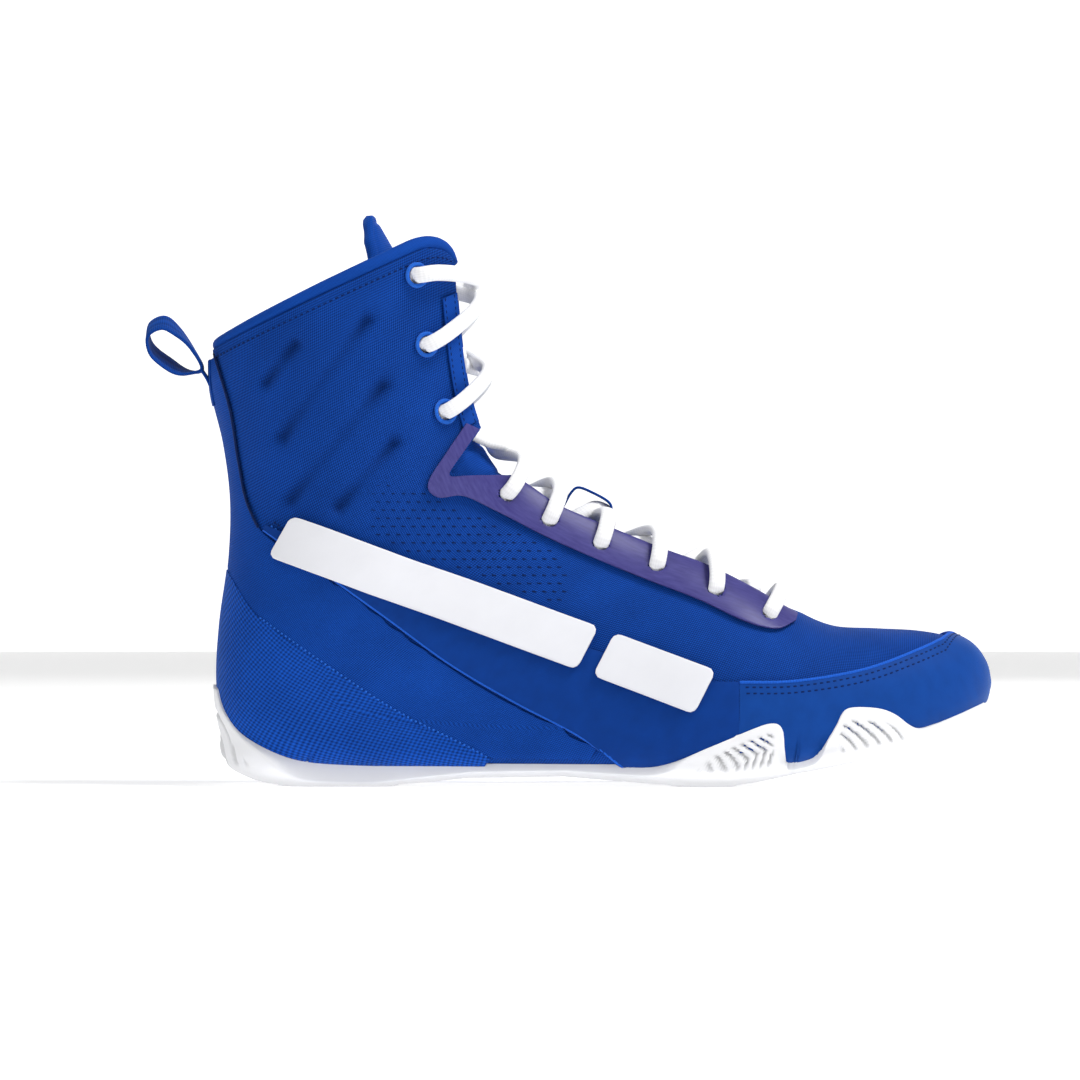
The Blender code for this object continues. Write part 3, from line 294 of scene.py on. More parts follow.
def top_line(u, phi):
    """u with the rows near the collar bent down round the flap's top corner."""
    if u >= 1.0 or u < 0.0:
        return np.full(len(phi), u)
    t, _, _ = section(u, phi)
    into = np.clip((CORNER_T - t) / (CORNER_T - SHAFT_EDGE_T), 0.0, 1.0)
    return u + CORNER_DROP * (1 - np.sqrt(1 - into**2 * 0.98)) * (1 - u)


def turned_under(u):
    share = np.interp(u, (7.2, 8.0, 9.0, 19.0, 20.2), (0.0, 0.5, 0.72, 0.62, 0.0))
    return phi_of_bottom_share(u, float(share))


# ------------------------------------------------------------------ cloth coordinates

ARC_U = np.linspace(-1.2, LAST, 260)
ARC_PHI = np.linspace(0.0, 1.0, 201)


def arc_tables():
    """Distance round the section from the front, and distance down the side, in millimetres."""
    points = base_point(ARC_U[:, None], ARC_PHI[None, :], LATERAL)
    round_steps = np.linalg.norm(np.diff(points, axis=1), axis=2)
    around = np.concatenate([np.zeros((len(ARC_U), 1)), np.cumsum(round_steps, axis=1)], axis=1)
    middle = points[:, len(ARC_PHI) // 2]
    down = np.insert(np.cumsum(np.linalg.norm(np.diff(middle, axis=0), axis=1)), 0, 0.0)
    return around, down


ARC_AROUND, ARC_DOWN = arc_tables()


def cloth_uv(u, phi, side):
    """Millimetre coordinates on the cloth, for weaves and prints."""
    u, phi = np.broadcast_arrays(np.asarray(u, float), np.asarray(phi, float))
    row = np.interp(u, ARC_U, np.arange(len(ARC_U)))
    low = np.minimum(row.astype(int), len(ARC_U) - 2)
    part = row - low
    column = phi * (len(ARC_PHI) - 1)
    left = np.minimum(column.astype(int), len(ARC_PHI) - 2)
    rest = column - left
    near = ARC_AROUND[low, left] * (1 - rest) + ARC_AROUND[low, left + 1] * rest
    far = ARC_AROUND[low + 1, left] * (1 - rest) + ARC_AROUND[low + 1, left + 1] * rest
    around = near * (1 - part) + far * part
    down = np.interp(u, ARC_U, ARC_DOWN)
    return np.stack([around * side, down], -1)


# ------------------------------------------------------------------ building meshes

def new_object(name, data, finish, body, replaces=()):
    made = bpy.data.objects.new(name, data)
    bpy.context.scene.collection.objects.link(made)
    data.materials.append(MATERIALS[finish])
    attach(made, body)
    for node in replaces:
        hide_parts(node)
    return made


def mesh_of_grids(name, grids):
    """A mesh from grids, each of points, cloth coordinates, whether it is turned over and, where it has
    them, how deep each point lies in a groove or hollow, from 0 to 1, which is also the amount of painted
    shade in its colour."""
    verts, faces, uvs, painted_shade_amounts, start = [], [], [], [], 0
    for points, uv, turned, *pressed in grids:
        painted_shade_amounts.append((pressed[0] if pressed else np.zeros(points.shape[:2])).ravel())
        rows, across_count = points.shape[:2]
        index = np.arange(rows * across_count).reshape(rows, across_count) + start
        quads = np.stack([index[:-1, :-1], index[1:, :-1], index[1:, 1:], index[:-1, 1:]],
                         -1).reshape(-1, 4)
        faces.append(quads[:, ::-1] if turned else quads)
        verts.append(place(points).reshape(-1, 3))
        uvs.append(uv.reshape(-1, 2))
        start += rows * across_count
    verts, faces, uvs = np.concatenate(verts), np.concatenate(faces), np.concatenate(uvs)
    data = bpy.data.meshes.new(name)
    data.from_pydata(verts.tolist(), [], faces.tolist())
    layer = data.uv_layers.new(name="cloth")
    layer.data.foreach_set("uv", (uvs[faces.ravel()] * UV_PER_MM).astype(np.float32).ravel())
    # painted shade: a point attribute that colour() reads to darken grooves and cuts
    painted_shade_layer = data.attributes.new("pressed", "FLOAT", "POINT")
    painted_shade_layer.data.foreach_set("value", np.concatenate(painted_shade_amounts).astype(np.float32))
    shape = bmesh.new()
    shape.from_mesh(data)
    bmesh.ops.remove_doubles(shape, verts=shape.verts, dist=4e-5)
    bmesh.ops.dissolve_degenerate(shape, edges=shape.edges, dist=1e-6)
    shape.to_mesh(data)
    shape.free()
    data.shade_smooth()
    return data


def fine_columns(u, start, end, count):
    """count + 1 values of phi at even distances."""
    phi = np.linspace(start, end, 81)
    steps = np.linalg.norm(np.diff(base_point(u, phi, LATERAL), axis=0), axis=1)
    lengths = np.insert(np.cumsum(steps), 0, 0.0)
    if lengths[-1] < 1e-6:
        return np.full(count + 1, start)
    return np.interp(np.linspace(0, lengths[-1], count + 1), lengths, phi)


def skin_grid(rows, columns_at, level, side, warp=None, pressed=None):
    """A grid of points on one side; level(u, phi, side) gives the distance from the base surface."""
    phis = np.array([columns_at(u) for u in rows])
    us = np.array([warp(u, phi) if warp else np.full(len(phi), u) for u, phi in zip(rows, phis)])
    points = surface(us, phis, side, level(us, phis, side))
    ridge = (phis < 1e-6) | (phis > 1 - 1e-6)
    points[..., 1] = np.where(ridge, station(us)[..., 6], points[..., 1])
    painted_shade_amounts = [pressed(us, phis, side)] if pressed else []
    return points, cloth_uv(us, phis, side), side < 0, *painted_shade_amounts


def thicken(made, thickness, bevel=None):
    solid = made.modifiers.new("thickness", "SOLIDIFY")
    solid.thickness = thickness * MM
    solid.offset = -1.0
    if bevel:
        soft = made.modifiers.new("edges", "BEVEL")
        soft.width = bevel * MM
        soft.segments = 2
        soft.limit_method = "ANGLE"
        soft.angle_limit = math.radians(50)
    return made


def skin(name, finish, rows, columns_at, level, thickness, bevel=0.2, sides=(LATERAL, MEDIAL), replaces=(),
         warp=None, pressed=None):
    if not callable(level):
        flat = level

        def level(u, phi, side):
            return np.full(np.shape(phi), flat)

    grids = [skin_grid(rows, columns_at, level, side, warp, pressed) for side in sides]
    return thicken(new_object(name, mesh_of_grids(name, grids), finish, "boot", replaces), thickness, bevel)


def pair_patch(name, finish, first, second, side, level, thickness, across_count, replaces=(), bevel=0.2,
               step=2.2):
    """A piece laid on the boot between two side-view lines, which are joined point to point."""
    count = int(max(len(evenly(first, step)), len(evenly(second, step))))
    lines = [resampled(line, count) for line in (first, second)]
    shares = np.linspace(0, 1, across_count + 1)
    places = np.array([
        [locate(*(a + (b - a) * share)) for share in shares] for a, b in zip(*lines)
    ])
    us, phis = places[..., 0], places[..., 1]
    points = surface(us, phis, side, np.full(us.shape, level))
    data = mesh_of_grids(name, [(points, cloth_uv(us, phis, side), side > 0)])
    return thicken(new_object(name, data, finish, "boot", replaces), thickness, bevel)


def resampled(line, count):
    lengths = np.insert(np.cumsum(np.linalg.norm(np.diff(line, axis=0), axis=1)), 0, 0.0)
    marks = np.linspace(0, lengths[-1], count)
    return np.stack([np.interp(marks, lengths, line[:, axis]) for axis in range(line.shape[1])], 1)


def sweep(name, finish, line, widths, normals, body="boot", replaces=(), sides=12, closed=False, power=2.0):
    """An oval tube: widths across and through, normals give the direction it is thin in."""
    line, normals = np.asarray(line, float), np.asarray(normals, float)
    along = np.roll(line, -1, 0) - np.roll(line, 1, 0) if closed else np.gradient(line, axis=0)
    along /= np.linalg.norm(along, axis=1)[:, None]
    normals = normals - along * (normals * along).sum(1)[:, None]
    normals /= np.linalg.norm(normals, axis=1)[:, None]
    wide = np.cross(along, normals)
    angles = np.linspace(0, 2 * math.pi, sides + 1)
    cos, sin = np.cos(angles), np.sin(angles)
    cos = np.sign(cos) * np.abs(cos) ** (2 / power)
    sin = np.sign(sin) * np.abs(sin) ** (2 / power)
    widths = np.broadcast_to(np.asarray(widths, float), (len(line), 2))
    points = (
        line[:, None]
        + wide[:, None] * (cos[None, :, None] * widths[:, None, :1] / 2)
        + normals[:, None] * (sin[None, :, None] * widths[:, None, 1:] / 2)
    )
    if closed:
        points = np.concatenate([points, points[:1]])
        line = np.vstack([line, line[:1]])
    lengths = np.insert(np.cumsum(np.linalg.norm(np.diff(line, axis=0), axis=1)), 0, 0.0)
    around = angles / (2 * math.pi) * (widths[0, 0] + widths[0, 1]) * 1.6
    uv = np.stack(np.broadcast_arrays(around[None, :], lengths[:, None]), -1)
    data = mesh_of_grids(name, [(points, uv, False)])
    if not closed:
        close_ends(data)
    return new_object(name, data, finish, body, replaces)


def close_ends(data):
    shape = bmesh.new()
    shape.from_mesh(data)
    bmesh.ops.holes_fill(shape, edges=[edge for edge in shape.edges if edge.is_boundary], sides=0)
    bmesh.ops.recalc_face_normals(shape, faces=shape.faces)
    shape.to_mesh(data)
    shape.free()


def stitch_mesh(name, finish, places, length, width, body="boot", replaces=()):
    """Thread ends standing out of the cloth. places are (point, along, normal), in millimetres."""
    points, directions, normals = (np.array(item, float) for item in zip(*places))
    directions /= np.linalg.norm(directions, axis=1)[:, None]
    wide = np.cross(directions, normals)
    ring = ((-0.5, 0.0, -0.3), (-0.36, 0.5, -0.1), (-0.36, -0.5, -0.1), (-0.25, 0.0, 0.42), (0.25, 0.0,
                                                                                             0.42),
            (0.36, 0.5, -0.1), (0.36, -0.5, -0.1), (0.5, 0.0, -0.3))
    shape_faces = ((0, 2, 3), (0, 3, 1), (1, 3, 4, 5), (2, 6, 4, 3), (7, 4, 6), (7, 5, 4))
    ring = np.array(ring)
    verts = (
        points[:, None]
        + directions[:, None] * ring[None, :, :1] * length
        + wide[:, None] * ring[None, :, 1:2] * width
        + normals[:, None] * ring[None, :, 2:] * width
    )
    faces = [[8 * k + corner for corner in face] for k in range(len(points)) for face in shape_faces]
    data = bpy.data.meshes.new(name)
    data.from_pydata(place(verts.reshape(-1, 3)).tolist(), [], faces)
    data.shade_smooth()
    return new_object(name, data, finish, body, replaces)


# ------------------------------------------------------------------ materials

class Finish:
    """The node tree of one procedural material. Cloth coordinates are a tenth of a metre to 1."""

    def __init__(self, name, roughness, sheen=0.0, coat=0.0, coordinates="UV"):
        self.material = bpy.data.materials.new(name)
        self.material.use_nodes = True
        self.tree = self.material.node_tree
        self.shader = self.tree.nodes["Principled BSDF"]
        self.shader.inputs["Roughness"].default_value = roughness
        self.shader.inputs["Specular IOR Level"].default_value = 0.06 if sheen else 0.35
        self.shader.inputs["Sheen Weight"].default_value = sheen * 0.35
        self.shader.inputs["Sheen Roughness"].default_value = 0.4
        self.shader.inputs["Sheen Tint"].default_value = (0.25, 0.5, 1.0, 1.0)
        self.shader.inputs["Coat Weight"].default_value = coat
        self.shader.inputs["Coat Roughness"].default_value = 0.25
        coordinate = self.tree.nodes.new("ShaderNodeTexCoord")
        self.place = coordinate.outputs[coordinates]
        self.per_mm = UV_PER_MM if coordinates == "UV" else MM
        parts = self.tree.nodes.new("ShaderNodeSeparateXYZ")
        self.tree.links.new(self.place, parts.inputs[0])
        self.axes = parts.outputs

    def math(self, operation, *values):
        node = self.tree.nodes.new("ShaderNodeMath")
        node.operation = operation
        for socket, value in zip(node.inputs, values):
            self.feed(socket, value)
        return node.outputs[0]

    def feed(self, socket, value):
        if isinstance(value, bpy.types.NodeSocket):
            self.tree.links.new(value, socket)
        else:
            socket.default_value = value

    def wave(self, period, angle):
        """A sine from -1 to 1 whose crests lie at the angle, period millimetres apart."""
        turn = 2 * math.pi / (period * self.per_mm)
        across_part = self.math("MULTIPLY", self.axes[0], turn * math.cos(math.radians(angle)))
        along_part = self.math("MULTIPLY", self.axes[1], turn * math.sin(math.radians(angle)))
        return self.math("SINE", self.math("ADD", across_part, along_part))

    def product(self, period, first, second):
        """0 to 1 in a lattice of two waves."""
        both = self.math("MULTIPLY", self.wave(period, first), self.wave(period, second))
        return self.math("MULTIPLY_ADD", both, 0.5, 0.5)

    def noise(self, size, detail=3.0, stretch=(1.0, 1.0)):
        """Cloudy variation from about 0 to 1; size is in millimetres."""
        mapping = self.tree.nodes.new("ShaderNodeMapping")
        mapping.inputs["Scale"].default_value = (*stretch, 1.0)
        self.tree.links.new(self.place, mapping.inputs["Vector"])
        node = self.tree.nodes.new("ShaderNodeTexNoise")
        node.inputs["Scale"].default_value = 1.0 / (size * self.per_mm)
        node.inputs["Detail"].default_value = detail
        self.tree.links.new(mapping.outputs[0], node.inputs["Vector"])
        return node.outputs["Fac"]

    def blend(self, share, low, high):
        node = self.tree.nodes.new("ShaderNodeMix")
        node.data_type = "RGBA"
        self.feed(node.inputs["Factor"], share)
        for socket, value in ((node.inputs[6], low), (node.inputs[7], high)):
            self.feed(socket, value if isinstance(value, bpy.types.NodeSocket) else (*value, 1.0))
        return node.outputs[2]

    def colour(self, value, darkest=0.58):
        """The colour, darkened by painted shade where the piece has grooves and hollows."""
        # painted shade: the point attribute sets how far the colour darkens towards darkest
        pressed = self.tree.nodes.new("ShaderNodeAttribute")
        pressed.attribute_name = "pressed"
        tone = self.blend(pressed.outputs["Fac"], (1.0, 1.0, 1.0), (darkest,) * 3)
        self.tree.links.new(self.multiplied(value, tone), self.shader.inputs["Base Color"])
        return self

    def multiplied(self, first, second):
        node = self.tree.nodes.new("ShaderNodeMix")
        node.data_type = "RGBA"
        node.blend_type = "MULTIPLY"
        node.inputs["Factor"].default_value = 1.0
        self.tree.links.new(first, node.inputs[6])
        self.tree.links.new(second, node.inputs[7])
        return node.outputs[2]

    def relief(self, height, depth, strength=0.6):
        """Bump from a 0 to 1 height that stands depth millimetres high."""
        node = self.tree.nodes.new("ShaderNodeBump")
        node.inputs["Strength"].default_value = strength
        node.inputs["Distance"].default_value = depth * MM
        self.tree.links.new(height, node.inputs["Height"])
        self.tree.links.new(node.outputs[0], self.shader.inputs["Normal"])
        return self

    def rough(self, share, low, high):
        spread_part = self.math("MULTIPLY_ADD", share, high - low, low)
        self.tree.links.new(spread_part, self.shader.inputs["Roughness"])
        return self


def shade(colour, factor):
    return tuple(min(1.0, part * factor) for part in colour)


def woven(name, colour, period, depth, contrast=0.45, sheen=0.3, angles=(40, -40), roughness=0.75,
          patches=0.25):
    """Cloth with a lattice of yarns and soft patches of lighter and darker colour."""
    made = Finish(name, roughness, sheen)
    lattice = made.product(period, *angles)
    yarn = made.noise(period * 0.7, 2.0)
    height = made.math("MULTIPLY_ADD", yarn, 0.35, lattice)
    weave = made.blend(lattice, shade(colour, 1 - contrast), shade(colour, 1 + contrast))
    cloud = made.blend(made.noise(24.0), (1 - patches,) * 3, (1 + patches,) * 3)
    # painted shade in the quilting grooves, darkening the colour down to 0.58
    made.colour(made.multiplied(weave, cloud)).relief(height, depth)
    return made.rough(yarn, roughness - 0.1, roughness + 0.1).material


def suede_like(name, colour, sheen, roughness):
    """Smooth microfibre: a fine grain, faint mottling and a soft sheen."""
    made = Finish(name, roughness, sheen)
    grain = made.noise(0.35, 4.0)
    mottle = made.noise(7.0, 4.0)
    tone = made.blend(mottle, shade(colour, 0.82), shade(colour, 1.2))
    made.colour(tone).relief(grain, 0.10, 0.5)
    return made.rough(mottle, roughness - 0.08, roughness + 0.08).material


def streaked(name, colour, other):
    """Thin welded film with fine streaks along the boot."""
    made = Finish(name, 0.42, 0.1, coat=0.15)
    streak = made.noise(1.1, 3.0, stretch=(1.0, 0.12))
    tone = made.blend(streak, colour, other)
    return made.colour(tone).relief(streak, 0.08, 0.5).rough(streak, 0.34, 0.52).material


def moulded(name, colour, roughness, depth=0.03, coordinates="UV"):
    """Rubber or plastic: a fine moulded grain and slight unevenness of tone."""
    made = Finish(name, roughness, coordinates=coordinates)
    grain = made.noise(0.5, 3.0)
    tone = made.blend(made.noise(18.0), shade(colour, 0.94), shade(colour, 1.04))
    # painted shade in the grooves and cuts, darkening the colour down to 0.62
    made.colour(tone, 0.62).relief(grain, depth, 0.4)
    return made.rough(grain, roughness - 0.06, roughness + 0.06).material


def braided(name, colour, period, contrast=0.82, depth=0.22):
    """Braid or thread: crossing strands, darker between them."""
    made = Finish(name, 0.8, 0.2)
    made.shader.inputs["Sheen Tint"].default_value = (1.0, 1.0, 1.0, 1.0)
    strands = made.product(period, 28, -28)
    fuzz = made.noise(0.4)
    tone = made.blend(strands, shade(colour, contrast), shade(colour, 1.05))
    made.colour(tone).relief(made.math("MULTIPLY_ADD", fuzz, 0.3, strands), depth)
    return made.rough(fuzz, 0.7, 0.9).material


def spongy(name, colour):
    made = Finish(name, 0.92, coordinates="Object")
    cells = made.noise(0.9, 4.0)
    tone = made.blend(cells, shade(colour, 0.85), colour)
    return made.colour(tone).relief(cells, 0.2).rough(cells, 0.85, 0.97).material


BLUE = (0.0040, 0.048, 0.285)

MATERIALS = {
    "shaft_mesh": woven("shaft_mesh", shade(BLUE, 0.84), 1.25, 0.20, contrast=0.62, sheen=0.25),
    "knit": woven("knit", shade(BLUE, 1.12), 2.0, 0.5, contrast=0.6, sheen=0.5, angles=(20, -50)),
    "fine_knit": woven("fine_knit", shade(BLUE, 0.95), 1.05, 0.16, contrast=0.5, sheen=0.2),
    "panel": suede_like("panel", shade(BLUE, 0.74), 0.25, 0.62),
    "toe_suede": suede_like("toe_suede", (0.0048, 0.048, 0.250), 0.45, 0.60),
    "film": streaked("film", (0.030, 0.026, 0.135), (0.075, 0.070, 0.250)),
    "binding": woven("binding", shade(BLUE, 1.05), 0.7, 0.10, contrast=0.3, angles=(0, 90)),
    "webbing": woven("webbing", shade(BLUE, 0.9), 1.3, 0.25, contrast=0.4, angles=(62, -62)),
    "bright_bead": braided("bright_bead", (0.014, 0.105, 0.560), 1.0),
    "dark_thread": braided("dark_thread", (0.004, 0.018, 0.090), 0.5),
    "bright_thread": braided("bright_thread", (0.020, 0.130, 0.600), 0.5),
    "lining": woven("lining", shade(BLUE, 0.6), 1.2, 0.15, contrast=0.3, angles=(0, 90)),
    "tongue_cloth": woven("tongue_cloth", shade(BLUE, 1.1), 1.0, 0.15, contrast=0.35, sheen=0.35),
    "rubber": moulded("rubber", (0.79, 0.793, 0.81), 0.52),
    "band": moulded("band", (0.72, 0.725, 0.76), 0.36, 0.015),
    "lace_braid": braided("lace_braid", (0.84, 0.84, 0.85), 1.2, 0.94, 0.10),
    "foam": spongy("foam", (0.80, 0.80, 0.78)),
    "board": spongy("board", (0.50, 0.42, 0.31)),
    "counter": moulded("counter", (0.30, 0.31, 0.33), 0.6, coordinates="Object"),
    "tip_plastic": moulded("tip_plastic", (0.78, 0.80, 0.83), 0.28, coordinates="Object"),
}
FRAME_FINISHES = {
    "foam_white": "foam", "board_fibre": "board", "counter_plastic": "counter", "aglet_clear": "tip_plastic",
}


def dress_frame_nodes():
    """The hidden stiffeners, foams and lace tips keep their frame shapes and get real materials."""
    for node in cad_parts.values():
        for holder in node.material_slots:
            word = next((value for key, value in FRAME_FINISHES.items() if key in holder.material.name),
                        None)
            holder.material = MATERIALS[word or "binding"]


# ------------------------------------------------------------------ studio

PICTURE_WIDTH, CAMERA_DISTANCE = 0.4018, 3.0
PICTURE_MIDDLE = (-0.0108, 0.091)
FLOOR_FLAT, RIM_HEIGHT, FLOOR_SIDES = 3.6, 1.1, 96  # the camera stands inside the rim from any side


def camera():
    data = bpy.data.cameras.new("camera")
    made = bpy.data.objects.new("camera", data)
    bpy.context.scene.collection.objects.link(made)
    made.location = (PICTURE_MIDDLE[0], -CAMERA_DISTANCE, PICTURE_MIDDLE[1])
    made.rotation_euler = (math.pi / 2, 0.0, 0.0)
    data.lens = data.sensor_width * CAMERA_DISTANCE / PICTURE_WIDTH
    data.clip_end = 50.0
    bpy.context.scene.camera = made


def area_light(name, at, size, power):
    data = bpy.data.lights.new(name, "AREA")
    data.shape = "DISK"
    data.size = size
    data.energy = power
    made = bpy.data.objects.new(name, data)
    bpy.context.scene.collection.objects.link(made)
    made.location = at
    made.rotation_euler = (Vector((0.0, 0.0, 0.08)) - made.location).to_track_quat("-Z", "Y").to_euler()


def pale(name, strength):
    """A matt near-white that gives off a little light of its own."""
    made = Finish(name, 0.9, coordinates="Object")
    made.colour(made.blend(made.noise(400.0), (0.90, 0.90, 0.90), (0.92, 0.92, 0.92)))
    made.shader.inputs["Emission Color"].default_value = (1.0, 1.0, 1.0, 1.0)
    made.shader.inputs["Emission Strength"].default_value = strength
    return made.material


def studio():
    """A round pale floor that curves up to a low rim on every side, and soft lights above and around."""
    bend = np.linspace(0.0, math.pi / 2, 12)
    radii = np.concatenate([[0.4], FLOOR_FLAT + RIM_HEIGHT * np.sin(bend)])
    heights = np.concatenate([[0.0], RIM_HEIGHT * (1 - np.cos(bend))])
    turn = np.linspace(0.0, 2 * math.pi, FLOOR_SIDES, endpoint=False)
    verts = [(r * math.cos(a), r * math.sin(a), z) for r, z in zip(radii, heights) for a in turn]
    faces = [tuple(range(FLOOR_SIDES))]
    for ring in range(len(radii) - 1):
        for k in range(FLOOR_SIDES):
            low, nxt = ring * FLOOR_SIDES, (k + 1) % FLOOR_SIDES
            faces.append((low + k, low + FLOOR_SIDES + k, low + FLOOR_SIDES + nxt, low + nxt))
    data = bpy.data.meshes.new("studio_floor")
    data.from_pydata(verts, [], faces)
    data.shade_smooth()
    floor = bpy.data.objects.new("studio_floor", data)
    bpy.context.scene.collection.objects.link(floor)
    data.materials.append(pale("studio_floor", 0.42))
    data.materials.append(pale("studio_rim", 0.72))
    rings = np.array([0] + [min(ring, 1) for ring in range(len(radii) - 1) for _ in range(FLOOR_SIDES)])
    data.polygons.foreach_set("material_index", rings.astype(np.int32))
    world = bpy.data.worlds.new("studio")
    world.use_nodes = True
    world.node_tree.nodes["Background"].inputs[0].default_value = (1.0, 1.0, 1.0, 1.0)
    world.node_tree.nodes["Background"].inputs[1].default_value = 0.22
    bpy.context.scene.world = world
    area_light("key", (-0.8, -0.75, 1.7), 0.5, 6.0)
    area_light("fill", (1.3, -1.8, 0.7), 1.2, 2.0)
    area_light("top", (0.95, -0.35, 1.7), 0.8, 34.0)
    area_light("back", (0.4, 1.9, 1.0), 1.2, 6.0)
    bpy.context.scene.view_settings.view_transform = "Standard"


# ------------------------------------------------------------------ the upper

ROW_STEP = 0.07
EYELETS = (
    (75.7, 188.5), (79.3, 163.0), (86.2, 138.3), (108.6, 107.7), (124.6, 98.0), (143.6, 89.2),
    (164.4, 81.0),
    (186.0, 72.0), (205.5, 63.0),
)
SHAFT_EYELETS = 3
HOLE_RADIUS = 3.1
QUILT_GROOVES = (  # two ends in side view, half width
    ((20.0, 149.0), (31.0, 163.0), 1.8), ((26.0, 129.0), (58.0, 172.0), 2.0),
    ((29.0, 106.0), (64.0, 148.0), 2.1), ((47.0, 103.0), (68.0, 127.0), 1.9),
)
QUILT_PUFF, QUILT_DEPTH = 0.8, 2.6


def beside_segment(x, z, start, end):
    """Distance from a segment in side view, and the share along it."""
    start, run = np.array(start), np.subtract(end, start)
    share = np.clip(((x - start[0]) * run[0] + (z - start[1]) * run[1]) / (run @ run), 0, 1)
    return np.hypot(x - start[0] - share * run[0], z - start[1] - share * run[1]), share


def quilting(u, phi, side):
    """How far the sewn grooves press the padding in, from 0 to about 1, deepest at their ends. The same
    share also sets the painted shade that darkens the grooves in the upper's colour.
    """
    at = base_point(u, phi, side)
    pressed = np.zeros(np.shape(phi))
    for start, end, half in QUILT_GROOVES:
        distance, share = beside_segment(at[..., 0], at[..., 2], start, end)
        ends = np.exp(-((np.minimum(share, 1 - share) * math.dist(start, end) / 9.0) ** 2))
        pressed = np.maximum(pressed, np.exp(-((distance / (half + 0.3 * ends)) ** 2)) * (0.3 + 0.7 * ends))
    return pressed


def upper_level(u, phi, side):
    """The upper's outer face: quilted padding on the shaft, plain below."""
    at = base_point(u, phi, side)
    level = QUILT_PUFF * np.exp(-(((at[..., 0] - 45.0) / 24.0) ** 2) - ((at[..., 2] - 138.0) / 30.0) ** 2)
    level = level - QUILT_DEPTH * quilting(u, phi, side)
    seam = np.exp(-(((np.asarray(u) - 0.36) / 0.045) ** 2))
    return level - 0.45 * seam


def rows_of(low, high, step=ROW_STEP):
    return np.linspace(low, high, int(round((high - low) / step)) + 1)


def open_holes(data, holes, spacing):
    """Rounds out an opening in an open skin at each hole."""
    shape = bmesh.new()
    shape.from_mesh(data)
    shape.verts.ensure_lookup_table()
    points = np.array([vert.co for vert in shape.verts])
    inner, moved = set(), {}
    for centre, normal in holes:
        away = points - centre
        height = away @ normal
        flat = away - height[:, None] * normal
        distance = np.linalg.norm(flat, axis=1)
        near = (np.abs(height) < 5 * MM) & (distance < (HOLE_RADIUS + spacing / 2) * MM)
        for k in np.flatnonzero(near):
            if distance[k] < (HOLE_RADIUS - spacing / 2) * MM:
                inner.add(int(k))
            else:
                moved[int(k)] = centre + normal * height[k] + flat[k] / distance[k] * HOLE_RADIUS * MM
    for k, point in moved.items():
        shape.verts[k].co = point
    bmesh.ops.delete(shape, geom=[shape.verts[k] for k in sorted(inner)], context="VERTS")
    shape.to_mesh(data)
    shape.free()


def hole_axes(sides=(LATERAL, MEDIAL), first=0):
    axes = []
    for side in sides:
        for x, z in EYELETS[first:]:
            u, phi = locate(x, z)
            axes.append((place(surface(u, phi, side, np.array(0.0))), base_normal(u, phi, side)))
    return axes


def upper():
    def columns_at(u):
        return fine_columns(u, flap_edge(u), max(turned_under(u), flap_edge(u) + 0.02), 96)

    # the quilting share also paints shade into the colour of the grooves
    made = skin("upper", "shaft_mesh", rows_of(0.25, 21.0), columns_at, upper_level, MESH_THICK,
                replaces=("mesh_upper",), warp=top_line, pressed=quilting)
    open_holes(made.data, hole_axes(), 1.1)


def lining():
    def level(u, phi, side):
        return np.interp(u, (6.5, 9.0), (-4.6, -3.2)) + 0.5 * np.minimum(0.0, upper_level(u, phi, side))

    def columns_at(u):
        closing = float(np.clip((u - 14.2) / 0.6, 0.0, 1.0))
        front = (flap_edge(u) + 0.10) * (1 - closing)
        share = float(np.interp(u, (6.6, 7.6, 9.0, 19.0, 20.4), (0.0, 0.72, 0.93, 0.9, 0.6)))
        return fine_columns(u, front, phi_of_bottom_share(u, share), 60)

    skin("lining", "lining", rows_of(0.45, 20.2, 0.12), columns_at, level, 0.7, replaces=("lining",))


def sockliner():
    def columns_at(u):
        share = float(np.interp(u, (8.0, 9.0, 18.4, 19.4), (0.0, 0.74, 0.68, 0.0)))
        return fine_columns(u, phi_of_bottom_share(u, share), 1.0, 20)

    skin("sockliner", "lining", rows_of(8.05, 19.4, 0.12), columns_at, -3.6, 3.0, replaces=("sockliner",))


def facings():
    def columns_at(u):
        return fine_columns(u, phi_of_t(u, 0.058), phi_of_t(u, 0.112), 6)

    for side in (LATERAL, MEDIAL):
        word = SIDE_NAMES[side]
        skin(f"shaft_facing_{word}", "binding", rows_of(1.3, 4.1), columns_at, SKIN_TOP, SKIN_THICK,
             sides=(side,),
             replaces=(f"shaft_facing_{word}",))


KNIT_LINE = ((6.9, 79.0), (18.0, 63.0), (43.0, 45.0), (69.0, 28.0), (103.0, 11.4))
knit_line = edge_line(KNIT_LINE, back=4.15)
KNIT_END = locate(*KNIT_LINE[-1])[0]


def heel():
    """The fine mesh panel behind the seam, and the thicker knit below it."""
    def upper_part(u):
        low = heel_seam(u)
        return fine_columns(u, low, max(low + 1e-4, min(knit_line(u), tucked_in(u))), 40)

    def lower_part(u):
        low = max(heel_seam(u), knit_line(u))
        return fine_columns(u, low, max(low + 1e-4, tucked_in(u)), 50)

    skin("heel_panel", "fine_knit", rows_of(0.45, 12.2, 0.08), upper_part, SKIN_TOP, SKIN_THICK,
         replaces=("heel_panel",))
    skin("heel_knit", "knit", rows_of(4.18, KNIT_END, 0.06), lower_part, SKIN_TOP + 0.25, SKIN_THICK)


TOE_BOTTOM = ((194.5, 13.0), (205.0, 9.6), (214.0, 8.6), (223.0, 10.2), (234.0, 13.0), (250.0, 17.5),
              (264.0, 21.5),
              (275.0, 25.2), (284.5, 29.6))  # hidden behind the sole's wall


